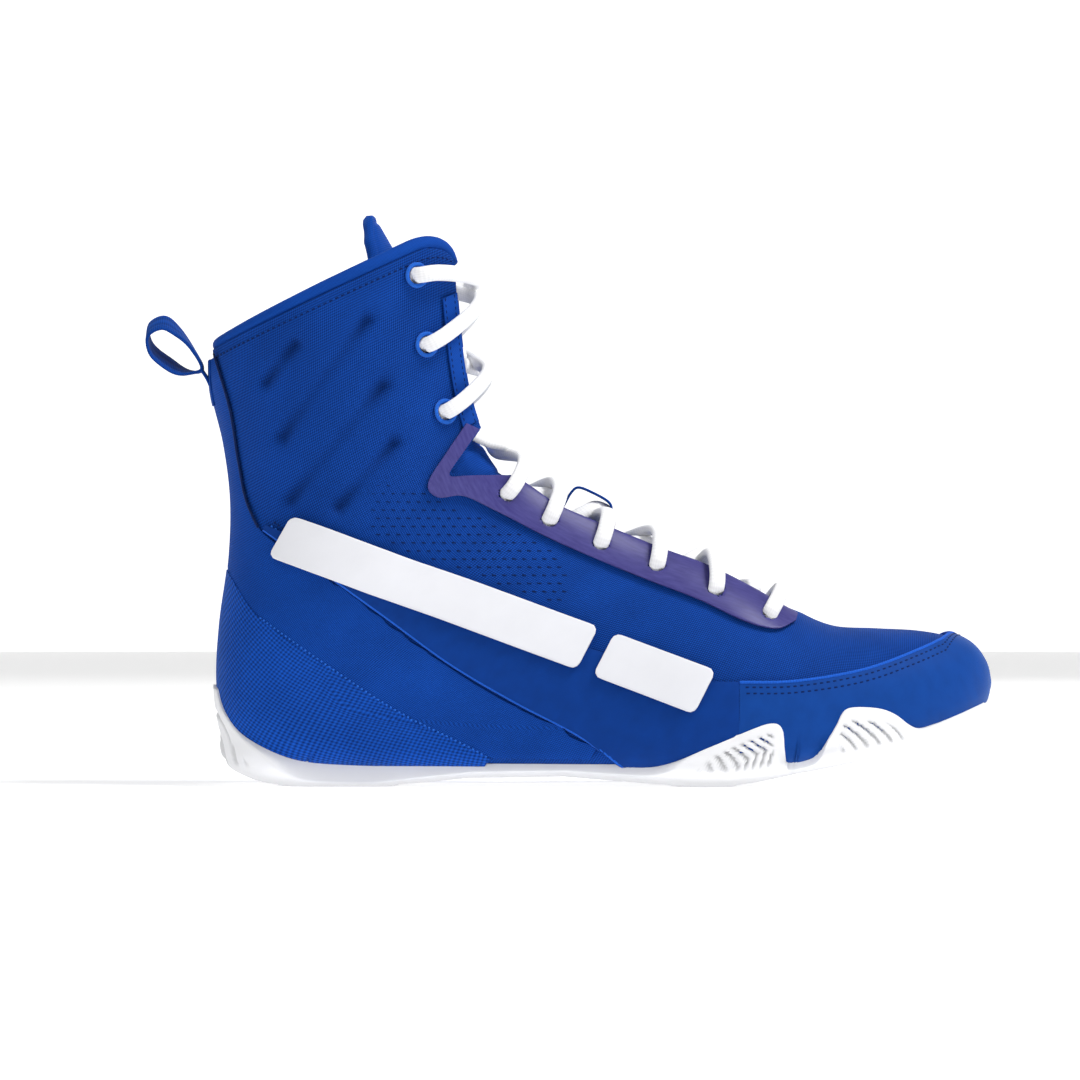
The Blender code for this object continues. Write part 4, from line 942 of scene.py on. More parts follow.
def toe_guard():
    low_edge = edge_line([(TOE_SEAM_X, 37.4), (TOE_SEAM_X, 25.0), *TOE_BOTTOM], front=SOLE_FRONT_U + 0.3)
    start = locate(TOE_SEAM_X, 37.4)[0]

    def columns_at(u):
        top = toe_top(u)
        return fine_columns(u, top, max(top + 1e-4, low_edge(u)), 60)

    skin("toe_guard", "toe_suede", rows_of(start, 21.0, 0.05), columns_at, TOE_TOP_D, SKIN_THICK + 0.3,
         bevel=0.3,
         replaces=("toe_guard",))


SIDE_PANEL = (  # upper edge, lower edge
    ((21.0, 96.4), (20.2, 94.7)), ((48.0, 85.0), (40.0, 80.6)), ((76.0, 74.5), (64.0, 63.1)),
    ((104.0, 64.0), (88.0, 45.6)), ((130.0, 54.5), (112.0, 31.5)), ((150.0, 47.0), (135.0, 19.6)),
    ((166.0, 41.5), (152.0, 8.6)), ((175.0, 39.3), (163.5, 7.6)), ((184.0, 38.7), (174.0, 9.6)),
    ((194.4, 38.5), (194.4, 17.6)),
)
EYESTAY_FILM = (  # edge nearest the laces, outer edge
    ((97.8, 131.5), (93.3, 133.8)), ((92.6, 123.6), (86.3, 123.0)), ((87.2, 114.9), (79.9, 112.4)),
    ((87.9, 114.3), (79.9, 109.3)), ((92.5, 114.5), (83.4, 106.6)), ((100.0, 114.6), (92.0, 107.2)),
    ((110.4, 113.8), (105.0, 101.2)), ((127.4, 103.2), (124.0, 91.4)), ((147.3, 94.5), (143.0, 83.0)),
    ((166.3, 86.7), (160.0, 76.0)), ((184.1, 80.0), (180.0, 68.2)), ((203.3, 70.0), (199.0, 59.4)),
    ((211.0, 65.4), (209.0, 57.6)), ((216.0, 62.6), (215.2, 60.2)),
)
BAND_SLOPE, BAND_MIDDLE, BAND_HALF, BAND_LEAN = -0.372, (24.6, 93.0), 7.7, 4.0
BAND_PIECES = {"side_band": (27.0, 139.0), "side_band_tip": (145.0, 182.0)}


def side_panels():
    top, bottom = (smooth_line([pair[k] for pair in SIDE_PANEL], steps=10) for k in (0, 1))
    film_top, film_bottom = (smooth_line([pair[k] for pair in EYESTAY_FILM], steps=8) for k in (0, 1))
    for side in (LATERAL, MEDIAL):
        word = SIDE_NAMES[side]
        pair_patch(f"side_panel_{word}", "panel", top, bottom, side, SKIN_TOP, SKIN_THICK, 20,
                   (f"side_panel_{word}",))
        film = pair_patch(f"eyestay_film_{word}", "film", film_top, film_bottom, side, SKIN_TOP,
                          SKIN_THICK, 14,
                          (f"eyestay_film_{word}",), step=1.1)
        open_holes(film.data, hole_axes((side,), SHAFT_EYELETS), 1.1)
        for name, (start, end) in BAND_PIECES.items():
            upper_edge, lower_edge = band_edges(start, end, 0.0)
            pair_patch(f"{name}_{word}", "band", upper_edge, lower_edge, side, BAND_TOP, BAND_THICK, 14,
                       (f"{name}_{word}",), bevel=0.4, step=1.6)
            upper_edge, lower_edge = band_edges(start, end, 1.5)
            pair_patch(f"{name}_face_{word}", "band", upper_edge, lower_edge, side, BAND_TOP + 0.35, 0.5,
                       12,
                       bevel=0.3, step=1.6)


def band_edges(start, end, inset):
    """Upper and lower edge of a straight sloping band with rounded corners."""
    corner = 2.4
    along = np.array([1.0, BAND_SLOPE])
    lean = np.array([BAND_LEAN, BAND_HALF])
    xs = np.concatenate([start + inset + corner * (1 - np.cos(np.linspace(0, math.pi / 2, 8))),
                         end - inset - corner * (1 - np.sin(np.linspace(0, math.pi / 2, 8)))])
    near = np.minimum(xs - start - inset, end - inset - xs)
    cut = corner * (1 - np.sqrt(np.clip(1 - np.clip(1 - near / corner, 0, 1) ** 2, 0, 1)))
    half = (BAND_HALF - inset - cut) / BAND_HALF
    middle = np.array([BAND_MIDDLE[0], BAND_MIDDLE[1]]) + (xs - BAND_MIDDLE[0])[:, None] * along
    return middle + half[:, None] * lean, middle - half[:, None] * lean


def collar_binding():
    u = 0.25
    halves = []
    for side in (LATERAL, MEDIAL):
        phis = fine_columns(u, flap_edge(u) + 0.002, 1.0, 110)
        halves.append(surface(top_line(u, phis), phis, side, np.full(len(phis), -BINDING_RADIUS)))
        halves[-1][-1, 1] = 0.0
    line = np.vstack([halves[0], halves[1][-2::-1]])
    along = np.gradient(line, axis=0)
    outwards = line - np.array([40.0, 0.0, 0.0])
    outwards[:, 2] = 0.0
    upwards = np.cross(outwards, along)
    upwards /= -np.linalg.norm(upwards, axis=1)[:, None]
    line += upwards * (BINDING_RADIUS - 0.6)
    sweep("collar_binding", "binding", line, (2 * BINDING_RADIUS, 2 * BINDING_RADIUS), upwards,
          replaces=("collar_binding",), sides=20)


# ------------------------------------------------------------------ seams, beads and stitches

def place_line(points, side, d, spacing=1.2, front=None):
    """Points, directions and normals along a side-view line; front is the u where it meets the middle."""
    places = [locate(*point) for point in evenly(smooth_line(points), 2.0)]
    if front:
        places.append((front, 0.0))
    places = evenly(smooth_line(places, steps=4), 0.02)
    line = surface(places[:, 0], places[:, 1], side, np.full(len(places), d))
    normals = base_normal(places[:, 0], places[:, 1], side)
    both = evenly(np.hstack([line, normals * 0.01]), spacing)
    line, normals = both[:, :3], both[:, 3:]
    normals = normals / np.linalg.norm(normals, axis=1)[:, None]
    along = np.gradient(line, axis=0)
    return line, along / np.linalg.norm(along, axis=1)[:, None], normals


def bead(name, finish, points, d, widths, front=None):
    for side in (LATERAL, MEDIAL):
        line, _, normals = place_line(points, side, d, 1.2, front)
        sweep(f"{name}_{SIDE_NAMES[side]}", finish, line, widths, normals, sides=10)


def stitch_rows(name, finish, rows, d, length=1.6, width=0.55, pitch=2.6, front=None):
    """rows are side-view lines; each stitch lies along its line."""
    for side in (LATERAL, MEDIAL):
        places = []
        for k, points in enumerate(rows):
            line, along, normals = place_line(points, side, d, pitch, front and front + 0.16 * k)
            places += list(zip(line[1:-1], along[1:-1], normals[1:-1]))
        stitch_mesh(f"{name}_{SIDE_NAMES[side]}", finish, places, length, width)


def shifted(points, dx, dz):
    return [(x + dx, z + dz) for x, z in points]


ANKLE_ZONE = ((60.0, 112.0), (77.0, 110.0), (88.0, 103.0), (106.0, 97.0), (126.0, 87.0), (131.0, 79.0),
              (131.0, 66.0),
              (100.0, 77.0), (60.0, 91.5))
DASH_PITCH = (3.7, 3.0)


def inside_outline(x, z, outline):
    crossings = 0
    for (ax, az), (bx, bz) in zip(outline, outline[1:] + outline[:1]):
        if (az > z) != (bz > z) and x < ax + (z - az) * (bx - ax) / (bz - az):
            crossings += 1
    return crossings % 2 == 1


def ankle_dashes():
    """Short open stitches of the mesh, in staggered rows."""
    for side in (LATERAL, MEDIAL):
        places = []
        for row, z in enumerate(np.arange(66.0, 113.0, DASH_PITCH[1])):
            for x in np.arange(60.0 + (row % 2) * DASH_PITCH[0] / 2, 132.0, DASH_PITCH[0]):
                if inside_outline(x, z, ANKLE_ZONE):
                    u, phi = locate(x, z)
                    ahead = locate(x + 1.0, z - 0.15)
                    here = surface(*np.array((u, phi)), side, np.array(-0.02))
                    there = surface(*np.array(ahead), side, np.array(-0.02))
                    places.append((here, there - here, base_normal(u, phi, side)))
        stitch_mesh(f"ankle_dashes_{SIDE_NAMES[side]}", "dark_thread", places, 2.2, 0.75)


def seams():
    lower = [pair[1] for pair in SIDE_PANEL[:7]]
    bead("panel_edge", "bright_bead", lower, SKIN_TOP + 0.1, (1.3, 0.9))
    stitch_rows("panel_stitches", "bright_thread", (shifted(lower, 1.5, 2.2),), SKIN_TOP + 0.05, 1.1,
                0.75, 2.0)
    stitch_rows("panel_stitches_inner", "dark_thread", (shifted(lower, 2.5, 3.6),), SKIN_TOP + 0.05, 1.2,
                0.7, 2.0)
    bead("toe_edge", "bright_bead", TOE_TOP, TOE_TOP_D - 0.1, (1.2, 1.0), TOE_TOP_END)
    stitch_rows("toe_stitches", "dark_thread", (shifted(TOE_TOP, 0.3, -1.8), shifted(TOE_TOP, 0.6, -4.0)),
                TOE_TOP_D + 0.05, 1.6, 0.6, 2.5, TOE_TOP_END + 0.12)
    bead("heel_seam", "dark_thread", HEEL_SEAM[:5], SKIN_TOP, (1.0, 0.7))
    stitch_rows("knit_edge", "bright_thread", (KNIT_LINE[1:],), SKIN_TOP + 0.35, 0.9, 0.7, 1.8)


COLLAR_STITCH_U = 0.44


def collar_stitches():
    for side in (LATERAL, MEDIAL):
        phis = fine_columns(COLLAR_STITCH_U, flap_edge(COLLAR_STITCH_U) + 0.02, 0.985, 60)
        points = surface(top_line(COLLAR_STITCH_U, phis), phis, side, np.full(len(phis), 0.1))
        normals = base_normal(top_line(COLLAR_STITCH_U, phis), phis, side)
        both = evenly(np.hstack([points, normals * 0.01]), 2.4)
        along = np.gradient(both[:, :3], axis=0)
        places = list(zip(both[:, :3], along, both[:, 3:] * 100))
        stitch_mesh(f"collar_stitches_{SIDE_NAMES[side]}", "dark_thread", places, 1.5, 0.5)


def facing_stitches():
    for side in (LATERAL, MEDIAL):
        places = []
        for t in (0.070, 0.104):
            us = np.linspace(1.34, 4.05, 60)
            phis = np.array([phi_of_t(u, t) for u in us])
            points = surface(us, phis, side, np.full(len(us), SKIN_TOP + 0.05))
            both = evenly(np.hstack([points, base_normal(us, phis, side) * 0.01]), 2.2)
            along = np.gradient(both[:, :3], axis=0)
            places += list(zip(both[:, :3], along, both[:, 3:] * 100))
        stitch_mesh(f"facing_stitches_{SIDE_NAMES[side]}", "dark_thread", places, 1.4, 0.5)


def eyelets():
    """Satin-stitched rings on the shaft, and thin punched rims in the film."""
    for side in (LATERAL, MEDIAL):
        for k, (x, z) in enumerate(EYELETS):
            stitched = k < SHAFT_EYELETS
            radius, widths, d = (4.0, (1.5, 1.1), 0.75) if stitched else (3.3, (0.7, 0.6), SKIN_TOP)
            u, phi = locate(x, z)
            centre, normal = surface(u, phi, side, np.array(d)), base_normal(u, phi, side)
            first = np.cross(normal, (0.0, 0.0, 1.0))
            first /= np.linalg.norm(first)
            second = np.cross(normal, first)
            angles = np.linspace(0, 2 * math.pi, 72, endpoint=False)
            line = centre + radius * (np.cos(angles)[:, None] * first + np.sin(angles)[:, None] * second)
            bumps = 1 + (0.14 * (np.arange(72) % 2))[:, None] * stitched
            names = (f"eyelet_{k + 1}_{SIDE_NAMES[side]}",)
            sweep(names[0], "bright_thread" if stitched else "dark_thread", line, np.array(widths) * bumps,
                  np.tile(normal, (72, 1)), replaces=names if stitched else (), sides=10, closed=True)


# ------------------------------------------------------------------ the sole

FOOT_TREAD = 0.35
SOLE_WALL = 2.7
SOLE_DEPTH = (
    (6.0, 4.0), (7.0, 8.0), (8.0, 7.2), (9.0, 8.9), (10.0, 7.9), (11.0, 3.7), (12.0, 2.9), (13.0, 5.4),
    (13.5, 6.3),
    (14.0, 6.3), (15.0, 4.4), (16.0, 4.4), (17.0, 4.4), (18.0, 4.4), (19.0, 4.6), (20.0, 4.0), (21.0, 3.0),
)
SOLE_CLEAR = 1.1
CUT_DEPTH = 1.0


def interpolated(table, u):
    us, values = zip(*table)
    return np.interp(u, us, values)


def downwards(u, phi):
    share = np.clip((-base_normal(u, phi, LATERAL)[..., 2] - 0.2) / 0.6, 0.0, 1.0)
    return share * share * (3 - 2 * share)


def stripes(phase, share):
    """1 in narrow cuts, one for each whole number of the phase, share of it wide."""
    off = np.abs(phase - np.round(phase))
    return 1 - smoothstep(share * 0.40, share * 0.58, off)


SOLE_EDGE = np.array(SOLE_TOP)


def below_edge(x, z):
    """How far a point of the wall lies under the sole's top edge, in side view."""
    edge = SOLE_EDGE[(SOLE_EDGE[:, 0] < 209.0) | (SOLE_EDGE[:, 0] > 212.0)]
    return np.interp(x, edge[:, 0], edge[:, 1]) - z


def wall_cuts(x, z):
    """Arrow grooves that point to the toe on the two forefoot pods, and slanting ones round the heel."""
    below = below_edge(x, z)
    inner_pod = smoothstep(166, 170, x) * (1 - smoothstep(205.5, 207.0, x)) * smoothstep(2.6, 4.2, below)
    axis = 4.5 + (x - 172.0) * 0.31
    first = stripes((x + 1.15 * np.abs(z - axis)) / 3.4, 0.34) * inner_pod * smoothstep(1.2, 2.2, z)
    outer_pod = smoothstep(229.5, 232, x) * (1 - smoothstep(262, 264, x)) * smoothstep(3.6, 5.2, below)
    axis = 17.4 + (x - 240.0) * 0.22
    above_ground = smoothstep(8.5, 10.5, z - (x - 232) * 0.12)
    second = stripes((x + 1.15 * np.abs(z - axis)) / 4.3, 0.26) * outer_pod * above_ground
    heel_zone = (1 - smoothstep(48, 62, x)) * smoothstep(3.4, 5.0, below)
    third = 0.7 * stripes((x * 0.82 + z * 0.55) / 2.6, 0.4) * heel_zone
    toe_zone = smoothstep(265, 267, x) * (1 - smoothstep(280, 282, x)) * smoothstep(2.6, 3.8, below)
    fourth = stripes((x - 0.9 * z) / 4.2, 0.26) * stripes((z - 0.42 * x) / 3.4 + 0.5, 0.9) * toe_zone
    return np.maximum.reduce([first, second, third, fourth])


def tread_cuts(points, phi):
    """The same arrows under the foot, inside a plain border."""
    x, y = points[..., 0], points[..., 1]
    arrows = stripes((x + 0.8 * np.abs(y)) / 6.0, 0.34)
    flex = stripes(x / 36.0, 0.03)
    off_waist = smoothstep(0.0, 0.2, 0.9 - np.abs(x - 110) / 40 + 1)
    return np.maximum(arrows, flex) * smoothstep(0.80, 0.84, phi) * off_waist


def sole():
    """Cup sole: its wall, lip, grooves and tread outside, and the hollow for the cushions inside."""
    def cut_share(u, phi, side):
        at = base_point(u, phi, side)
        return wall_cuts(at[..., 0], at[..., 2]) * (1 - smoothstep(0.88, 1.0, downwards(u, phi)))

    def outer(u, phi, side):
        depth, under = interpolated(SOLE_DEPTH, u), downwards(u, phi)
        from_lip = (phi - np.min(phi, axis=1, keepdims=True)) * 90
        lip = 0.5 * np.clip(1 - from_lip / 0.8, 0, 1) ** 2
        return SOLE_WALL + (depth - SOLE_WALL) * under - CUT_DEPTH * cut_share(u, phi, side) - lip

    def inner(u, phi, side):
        inside = smoothstep(0.0, 8.0, (phi - np.min(phi, axis=1, keepdims=True)) * 90)
        return SOLE_CLEAR - 0.9 + (0.9 + 2.0 * downwards(u, phi)) * inside

    def columns_at(u):
        top = sole_top(u)
        wall = fine_columns(u, top, max(top, 0.86), 60)
        return np.concatenate([wall, fine_columns(u, wall[-1], 1.0, 30)[1:]])

    rows = rows_of(SOLE_BACK_U + 0.01, SOLE_FRONT_U, 0.028)
    grids = []
    for side in (LATERAL, MEDIAL):
        points, uv, turned, cuts = skin_grid(rows, columns_at, outer, side, pressed=cut_share)
        tread = points[..., 2] < FOOT_TREAD
        share = np.linspace(0, 1, points.shape[1])[None, :] * np.ones((points.shape[0], 1))
        treads = tread_cuts(points, 0.8 + 0.2 * smoothstep(0.68, 0.82, share)) * tread
        points[..., 2] = np.where(tread, 0.8 * treads, points[..., 2])
        inside, inside_uv, _ = skin_grid(rows, columns_at, inner, side)
        inside[..., 2] = np.maximum(inside[..., 2], points[..., 2] + 1.0 * smoothstep(0.0, 0.05, share))
        both = np.concatenate([inside[:, ::-1], points], axis=1)
        # the wall and tread cuts get painted shade in their colour as well as their depth
        painted_shade_amounts = np.concatenate([np.zeros_like(cuts), np.maximum(cuts, treads)], axis=1)
        grids.append((both, np.concatenate([inside_uv[:, ::-1], uv], axis=1), turned, painted_shade_amounts))
    data = mesh_of_grids("outsole", grids)
    data.set_sharp_from_angle(angle=math.radians(50))
    new_object("outsole", data, "rubber", "boot", ("outsole",))


# ------------------------------------------------------------------ padding

FOOT_CUSHIONS = (  # first and last row, outer face, thickness
    ("heel_cushion", 8.3, 10.6, 3.4, 3.0), ("forefoot_cushion", 13.0, 17.5, 2.1, 1.6),
)


def pads():
    """Foams between the mesh and the lining."""
    def side_part(u):
        return fine_columns(u, phi_of_t(u, 0.20), phi_of_t(u, 0.78), 20)

    def heel_part(u):
        return fine_columns(u, phi_of_t(u, 0.86), 1.0, 16)

    def under_part(u):
        return fine_columns(u, phi_of_bottom_share(u, 0.72), 1.0, 16)

    def behind_mesh(u, phi, side):
        return np.minimum(-1.7, upper_level(u, phi, side) - 1.3)

    made = [skin(f"shaft_pad_{SIDE_NAMES[side]}", "foam", rows_of(0.9, 5.3, 0.15), side_part,
                 behind_mesh, 1.1, 0.4,
                 (side,), (f"shaft_pad_{SIDE_NAMES[side]}",)) for side in (LATERAL, MEDIAL)]
    made.append(skin("achilles_pad", "foam", rows_of(0.9, 4.3, 0.15), heel_part, behind_mesh, 1.8, 0.6,
                     replaces=("achilles_pad",)))
    for name, low, high, level, thickness in FOOT_CUSHIONS:
        made.append(skin(name, "foam", rows_of(low, high, 0.15), under_part, level, thickness, 0.5,
                         replaces=(name,)))


# ------------------------------------------------------------------ the tongue

TONGUE_MIDDLE, TONGUE_BULGE = -10.7, 2.2
TONGUE_BLEND_ROWS = (5.25, 3.65)
TONGUE_HALF = (
    (-0.95, 7.0), (-0.8, 14.0), (-0.45, 22.0), (0.2, 27.0), (1.0, 29.0), (4.6, 28.0), (6.5, 26.0),
    (10.0, 24.0),
    (13.0, 18.0), (14.2, 14.0), (15.0, 11.0),
)
TONGUE_BACK = ((-1.0, 31.0), (0.0, 21.5), (1.0, 14.0), (2.0, 8.0), (3.0, 3.8), (4.0, 1.0), (5.0, 0.0))


def chord(u):
    s = station(u)
    line = np.stack([s[..., 2] - s[..., 0], np.zeros_like(s[..., 0]), s[..., 3] - s[..., 1]], -1)
    return line / np.linalg.norm(line, axis=-1, keepdims=True)


def tongue_point(u, phi, side, d):
    def at(row, column):
        return base_point(row, column, side) + chord(row) * interpolated(TONGUE_BACK, row)[..., None]

    step = 0.02
    inner = np.clip(phi, step, 1 - step)
    along = at(u + step, inner) - at(u - step, inner)
    around = at(u, inner + step) - at(u, inner - step)
    normal = np.cross(along, around) * side
    normal[..., 1] = np.where(phi < 1e-6, 0.0, normal[..., 1])
    normal /= np.linalg.norm(normal, axis=-1, keepdims=True)
    return at(u, phi) + normal * np.asarray(d)[..., None]


def tongue_layer(us, shares, d):
    """A grid of points from the lateral edge to the medial edge; shares run from 0 to 1 on each side."""
    halves = []
    for side in (LATERAL, MEDIAL):
        phis = np.array([[phi_of_front_y(u, max(1e-9, interpolated(TONGUE_HALF, u) * share), LATERAL)
                          if share else 0.0 for share in shares] for u in us])
        rows = np.repeat(us[:, None], len(shares), axis=1)
        points = tongue_point(rows, phis, side, d)
        points[:, 0, 1] = station(us)[:, 6]
        halves.append(points)
    return np.concatenate([halves[0][:, ::-1], halves[1][:, 1:]], axis=1)


def tongue():
    """One padded tongue: rounded edges, a sewn channel inside them, and a seam up the middle of the top."""
    us = np.concatenate([np.linspace(-0.95, -0.3, 16), np.linspace(-0.24, 15.0, 190)])
    shares = np.sin(np.linspace(0, math.pi / 2, 22))
    rows = np.repeat(us[:, None], len(shares), axis=1)
    width = interpolated(TONGUE_HALF, us)[:, None]
    from_edge = width * (1 - shares[None, :])
    ends = np.minimum((rows + 0.95) * 19.0, (15.0 - rows) * 15.0)
    reach = np.minimum(from_edge, ends)
    puff = np.sqrt(np.clip(1 - np.clip(1 - reach / 2.4, 0, 1) ** 2, 0, 1))
    channel = 0.55 * np.exp(-(((reach - 4.2) / 0.9) ** 2))
    middle = 0.5 * np.exp(-((width * shares[None, :] / 0.8) ** 2)) * (rows < 3.0)
    off_channel = np.abs(((rows - 1.6) / 1.25) % 1.0 - 0.5)
    across_channels = 0.5 * np.exp(-((off_channel / 0.07) ** 2)) * (reach > 4.2) * (rows > 1)
    bulge = TONGUE_BULGE * puff - (channel + middle + across_channels)
    outer = tongue_layer(us, shares, TONGUE_MIDDLE + np.maximum(bulge, 0.0))
    inner = tongue_layer(us, shares, TONGUE_MIDDLE - np.maximum(bulge, 0.0))
    loop = np.concatenate([outer, inner[:, ::-1]], axis=1)
    steps = np.linalg.norm(np.diff(loop, axis=1), axis=2)
    lengths = np.concatenate([np.zeros((len(us), 1)), np.cumsum(steps, 1)], 1)
    down = np.insert(np.cumsum(np.linalg.norm(np.diff(outer[:, 21], axis=0), axis=1)), 0, 0.0)
    uv = np.stack(np.broadcast_arrays(lengths, down[:, None]), -1)
    data = mesh_of_grids("tongue", [(loop, uv, True)])
    close_ends(data)
    nodes = [f"tongue_{layer}_{part}" for layer in ("cover", "foam", "lining") for part in ("low", "top")]
    made = bpy.data.objects.new("tongue", data)
    bpy.context.scene.collection.objects.link(made)
    data.materials.append(MATERIALS["tongue_cloth"])
    for node in nodes:
        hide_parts(node)
    level = np.array([TONGUE_MIDDLE])
    first, last = (tongue_point(np.array([u]), np.zeros(1), LATERAL, level)[0] for u in TONGUE_BLEND_ROWS)
    place(first).tolist()
    place(last).tolist()
    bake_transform(made)


# ------------------------------------------------------------------ laces

HOLE_RUN = (-2.4, 2.3)
OVER, UNDER = 4.9, -5.2
BEND_OUT, EDGE_Y = 3.4, 9.2
THROAT_CROSS, SHAFT_CROSS, CROSS_APART = -1.3, -3.3, 2.3
UNDER_CROSS, UNDER_APART = -3.4, 0.95
BAR_HEIGHT = 3.4
LACE_WIDTH, LACE_THICK = 6.0, 3.6


def across(u, y, d, back=0.0):
    """A point y millimetres from the middle and d above the surface, with the surface's normal there."""
    side = MEDIAL if y >= 0 else LATERAL
    phi = phi_of_front_y(u, abs(y), side)
    at = surface(u, phi, side, np.array(d)) + chord(u) * back
    return np.concatenate([at, base_normal(u, phi, side)])


def hole_place(k, side):
    u, phi = locate(*EYELETS[k])
    return u, side * abs(float(base_point(u, phi, side)[1]) - float(station(u)[6]))


def hole_points(k, side, outwards):
    u, y = hole_place(k, side)
    points = [across(u, y, d) for d in HOLE_RUN]
    return points if outwards else points[::-1]


def strand(first, second, levels, middle):
    """Route between two holes. levels are the lace's height beside each hole."""
    (ua, ya), (ub, yb) = hole_place(*first), hole_place(*second)
    bend = BEND_OUT / math.hypot(ya - yb, 17.0 * (ua - ub))
    edge_a, edge_b = (abs(ya) - EDGE_Y) / (abs(ya) + abs(yb)), (abs(ya) + EDGE_Y) / (abs(ya) + abs(yb))
    edge_levels = [level - 0.9 if level > 0 else level + 0.4 for level in levels]
    stops = (
        (bend, levels[0]), (edge_a, edge_levels[0]), (0.5, middle), (edge_b, edge_levels[1]),
        (1 - bend, levels[1]),
    )
    return [across(ua + (ub - ua) * s, ya + (yb - ya) * s, d) for s, d in stops]


def climbing_half(side, lift):
    """From just past the bottom bar up to the top hole: under both flaps, then criss-cross."""
    bottom = len(EYELETS) - 1
    route = hole_points(bottom, side, outwards=False)
    route += strand((bottom, side), (bottom - 1, -side), (UNDER, UNDER), UNDER_CROSS + lift * UNDER_APART)
    here = -side
    for k in range(bottom - 1, 0, -1):
        route += hole_points(k, here, outwards=True)
        middle = lift + (SHAFT_CROSS if k <= SHAFT_EYELETS else THROAT_CROSS)
        route += strand((k, here), (k - 1, -here), (OVER, OVER if k == 1 else UNDER), middle)
        here = -here
    route += hole_points(0, here, outwards=False)
    return route, here


def tail(side):
    stops = ((0.8, 26.8, 6.5), (1.3, 24.5, 7.0), (1.75, 21.0, 6.5), (1.5, 17.8, 7.5), (1.0, 16.5, 9.5),
             (0.6, 14.0, 10.5), (0.55, 10.5, 10.8), (0.95, 8.2, 9.5), (1.4, 7.4, 7.5))
    return [across(u, side * y, -2.0, back) for u, y, back in stops]


def lace():
    left, left_side = climbing_half(LATERAL, CROSS_APART)
    right, right_side = climbing_half(MEDIAL, -CROSS_APART)
    bottom = len(EYELETS) - 1
    bar = strand((bottom, LATERAL), (bottom, MEDIAL), (OVER, OVER), BAR_HEIGHT)
    route = np.array(tail(left_side)[::-1] + left[::-1] + bar + right + tail(right_side))
    points = smooth_line(route[:, :3], steps=10)
    share = np.linspace(0, len(route) - 1, len(points))
    normals = np.stack([np.interp(share, np.arange(len(route)), route[:, axis]) for axis in (3, 4, 5)], 1)
    both = evenly(np.hstack([points, normals * 0.01]), 1.3)
    points, normals = both[:, :3], both[:, 3:]
    along = np.gradient(points, axis=0)
    along /= np.linalg.norm(along, axis=1)[:, None]
    flat = normals * 100 - along * ((normals * 100) * along).sum(1)[:, None]
    kernel = np.hanning(13)
    flat = np.stack([np.convolve(flat[:, axis], kernel, mode="same") for axis in range(3)], 1)
    made = sweep("lace", "lace_braid", points, (LACE_WIDTH, LACE_THICK), flat, replaces=("lace",),
                 sides=16, power=2.3)
    length = float(np.linalg.norm(np.diff(points, axis=0), axis=1).sum()) * MM
    place(points[0]).tolist()
    place(points).tolist()
    return length


# ------------------------------------------------------------------ webbing

def ribbon(name, finish, line, width, thickness, body="boot", replaces=(), closed=False):
    """A flat strip whose side view is the line of x and z, with its width across the boot."""
    line = np.asarray(line, float)
    if closed:
        along = np.roll(line, -1, axis=0) - np.roll(line, 1, axis=0)
    else:
        along = np.gradient(line, axis=0)
    points = np.insert(line, 1, 0.0, axis=1)
    normals = np.stack([-along[:, 1], np.zeros(len(line)), along[:, 0]], 1)
    return sweep(name, finish, points, (width, thickness), normals, body, replaces, sides=20,
                 closed=closed, power=5.0)


def beside(line, distance, closed=True):
    along = np.roll(line, -1, axis=0) - np.roll(line, 1, axis=0) if closed else np.gradient(line, axis=0)
    along = along / np.linalg.norm(along, axis=1)[:, None]
    return line + np.stack([-along[:, 1], along[:, 0]], 1) * distance


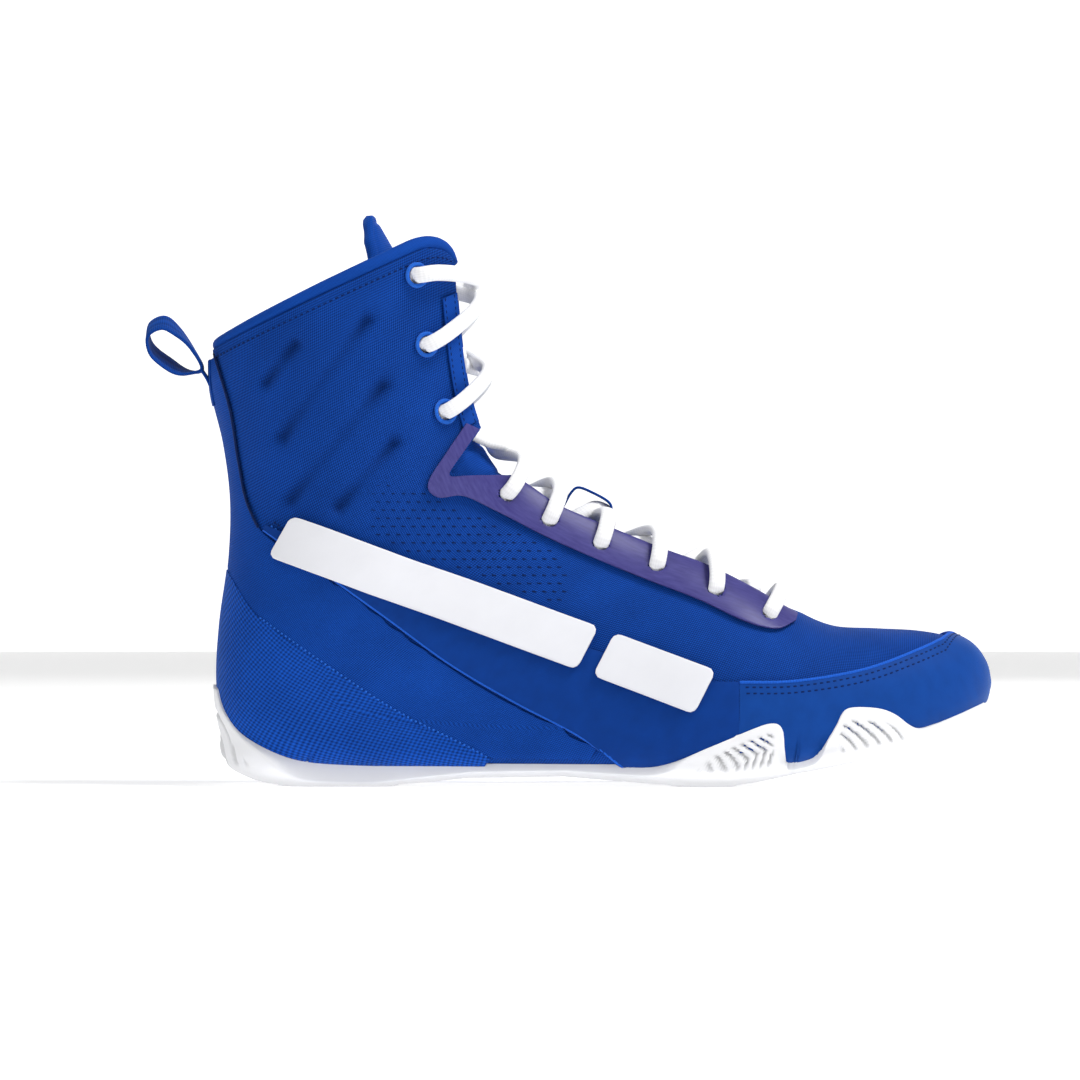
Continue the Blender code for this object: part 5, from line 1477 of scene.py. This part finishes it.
LOOP_LINE = (
    (-4.4, 154.3), (-7.6, 161.5), (-13.0, 168.2), (-18.8, 171.8), (-24.2, 169.0), (-23.6, 162.6),
    (-17.0, 156.6),
    (-10.0, 153.4),
)
LOOP_ANCHOR = ((1.6, 142.0), (-0.6, 147.0), (-2.4, 151.0), (-4.6, 154.4))
LOOP_WIDTH, LOOP_LEAN = 12.0, 0.42
KEEPER_ROWS, KEEPER_WIDTH = (8.6, 10.05), 7.0


def pull_loop():
    """A loop of blue webbing whose free end leans to the medial side, and the patch that holds it."""
    line = evenly(smooth_line(LOOP_LINE, closed=True, steps=10), 0.8)
    made = ribbon("pull_loop", "webbing", line, LOOP_WIDTH, 1.3, "pull_loop", ("pull_loop",), closed=True)
    points = np.array([vert.co for vert in made.data.vertices]) / MM + SHIFT
    lean = LOOP_LEAN * smoothstep(5.0, 17.0, -points[:, 0])
    points[:, 2] += lean * points[:, 1]
    made.data.vertices.foreach_set("co", place(points).ravel())

    def columns_at(u):
        return fine_columns(u, phi_of_bottom_share(u, 0.2), 1.0, 12)

    skin("pull_loop_tab", "webbing", rows_of(0.45, 1.3, 0.05), columns_at, SKIN_TOP + 0.55, SKIN_THICK,
         replaces=("pull_loop_tab",))
    ribbon("pull_loop_anchor", "webbing", evenly(smooth_line(LOOP_ANCHOR), 0.7), LOOP_WIDTH, 1.3)


def lace_keeper():
    low, high = KEEPER_ROWS
    middle = (low + high) / 2
    half = [(low - 0.3, -7.5), (low, -7.5), (low + 0.12, -5.5), (low + 0.16, 1.0), (low + 0.26, 3.8),
            (middle, 4.7)]
    stops = half + [(2 * middle - u, d) for u, d in half[-2::-1]]
    line = np.array([surface(u, 0.0, LATERAL, np.array(d))[[0, 2]] for u, d in stops])
    ribbon("tongue_lace_keeper", "webbing", evenly(smooth_line(line, steps=8), 0.7), KEEPER_WIDTH, 1.0,
           replaces=("tongue_lace_keeper",))


def main():
    camera()
    lace()
    dress_frame_nodes()
    upper()
    lining()
    sockliner()
    pads()
    facings()
    heel()
    toe_guard()
    side_panels()
    collar_binding()
    seams()
    ankle_dashes()
    collar_stitches()
    facing_stitches()
    eyelets()
    sole()
    tongue()
    lace_keeper()
    pull_loop()
    studio()


main()
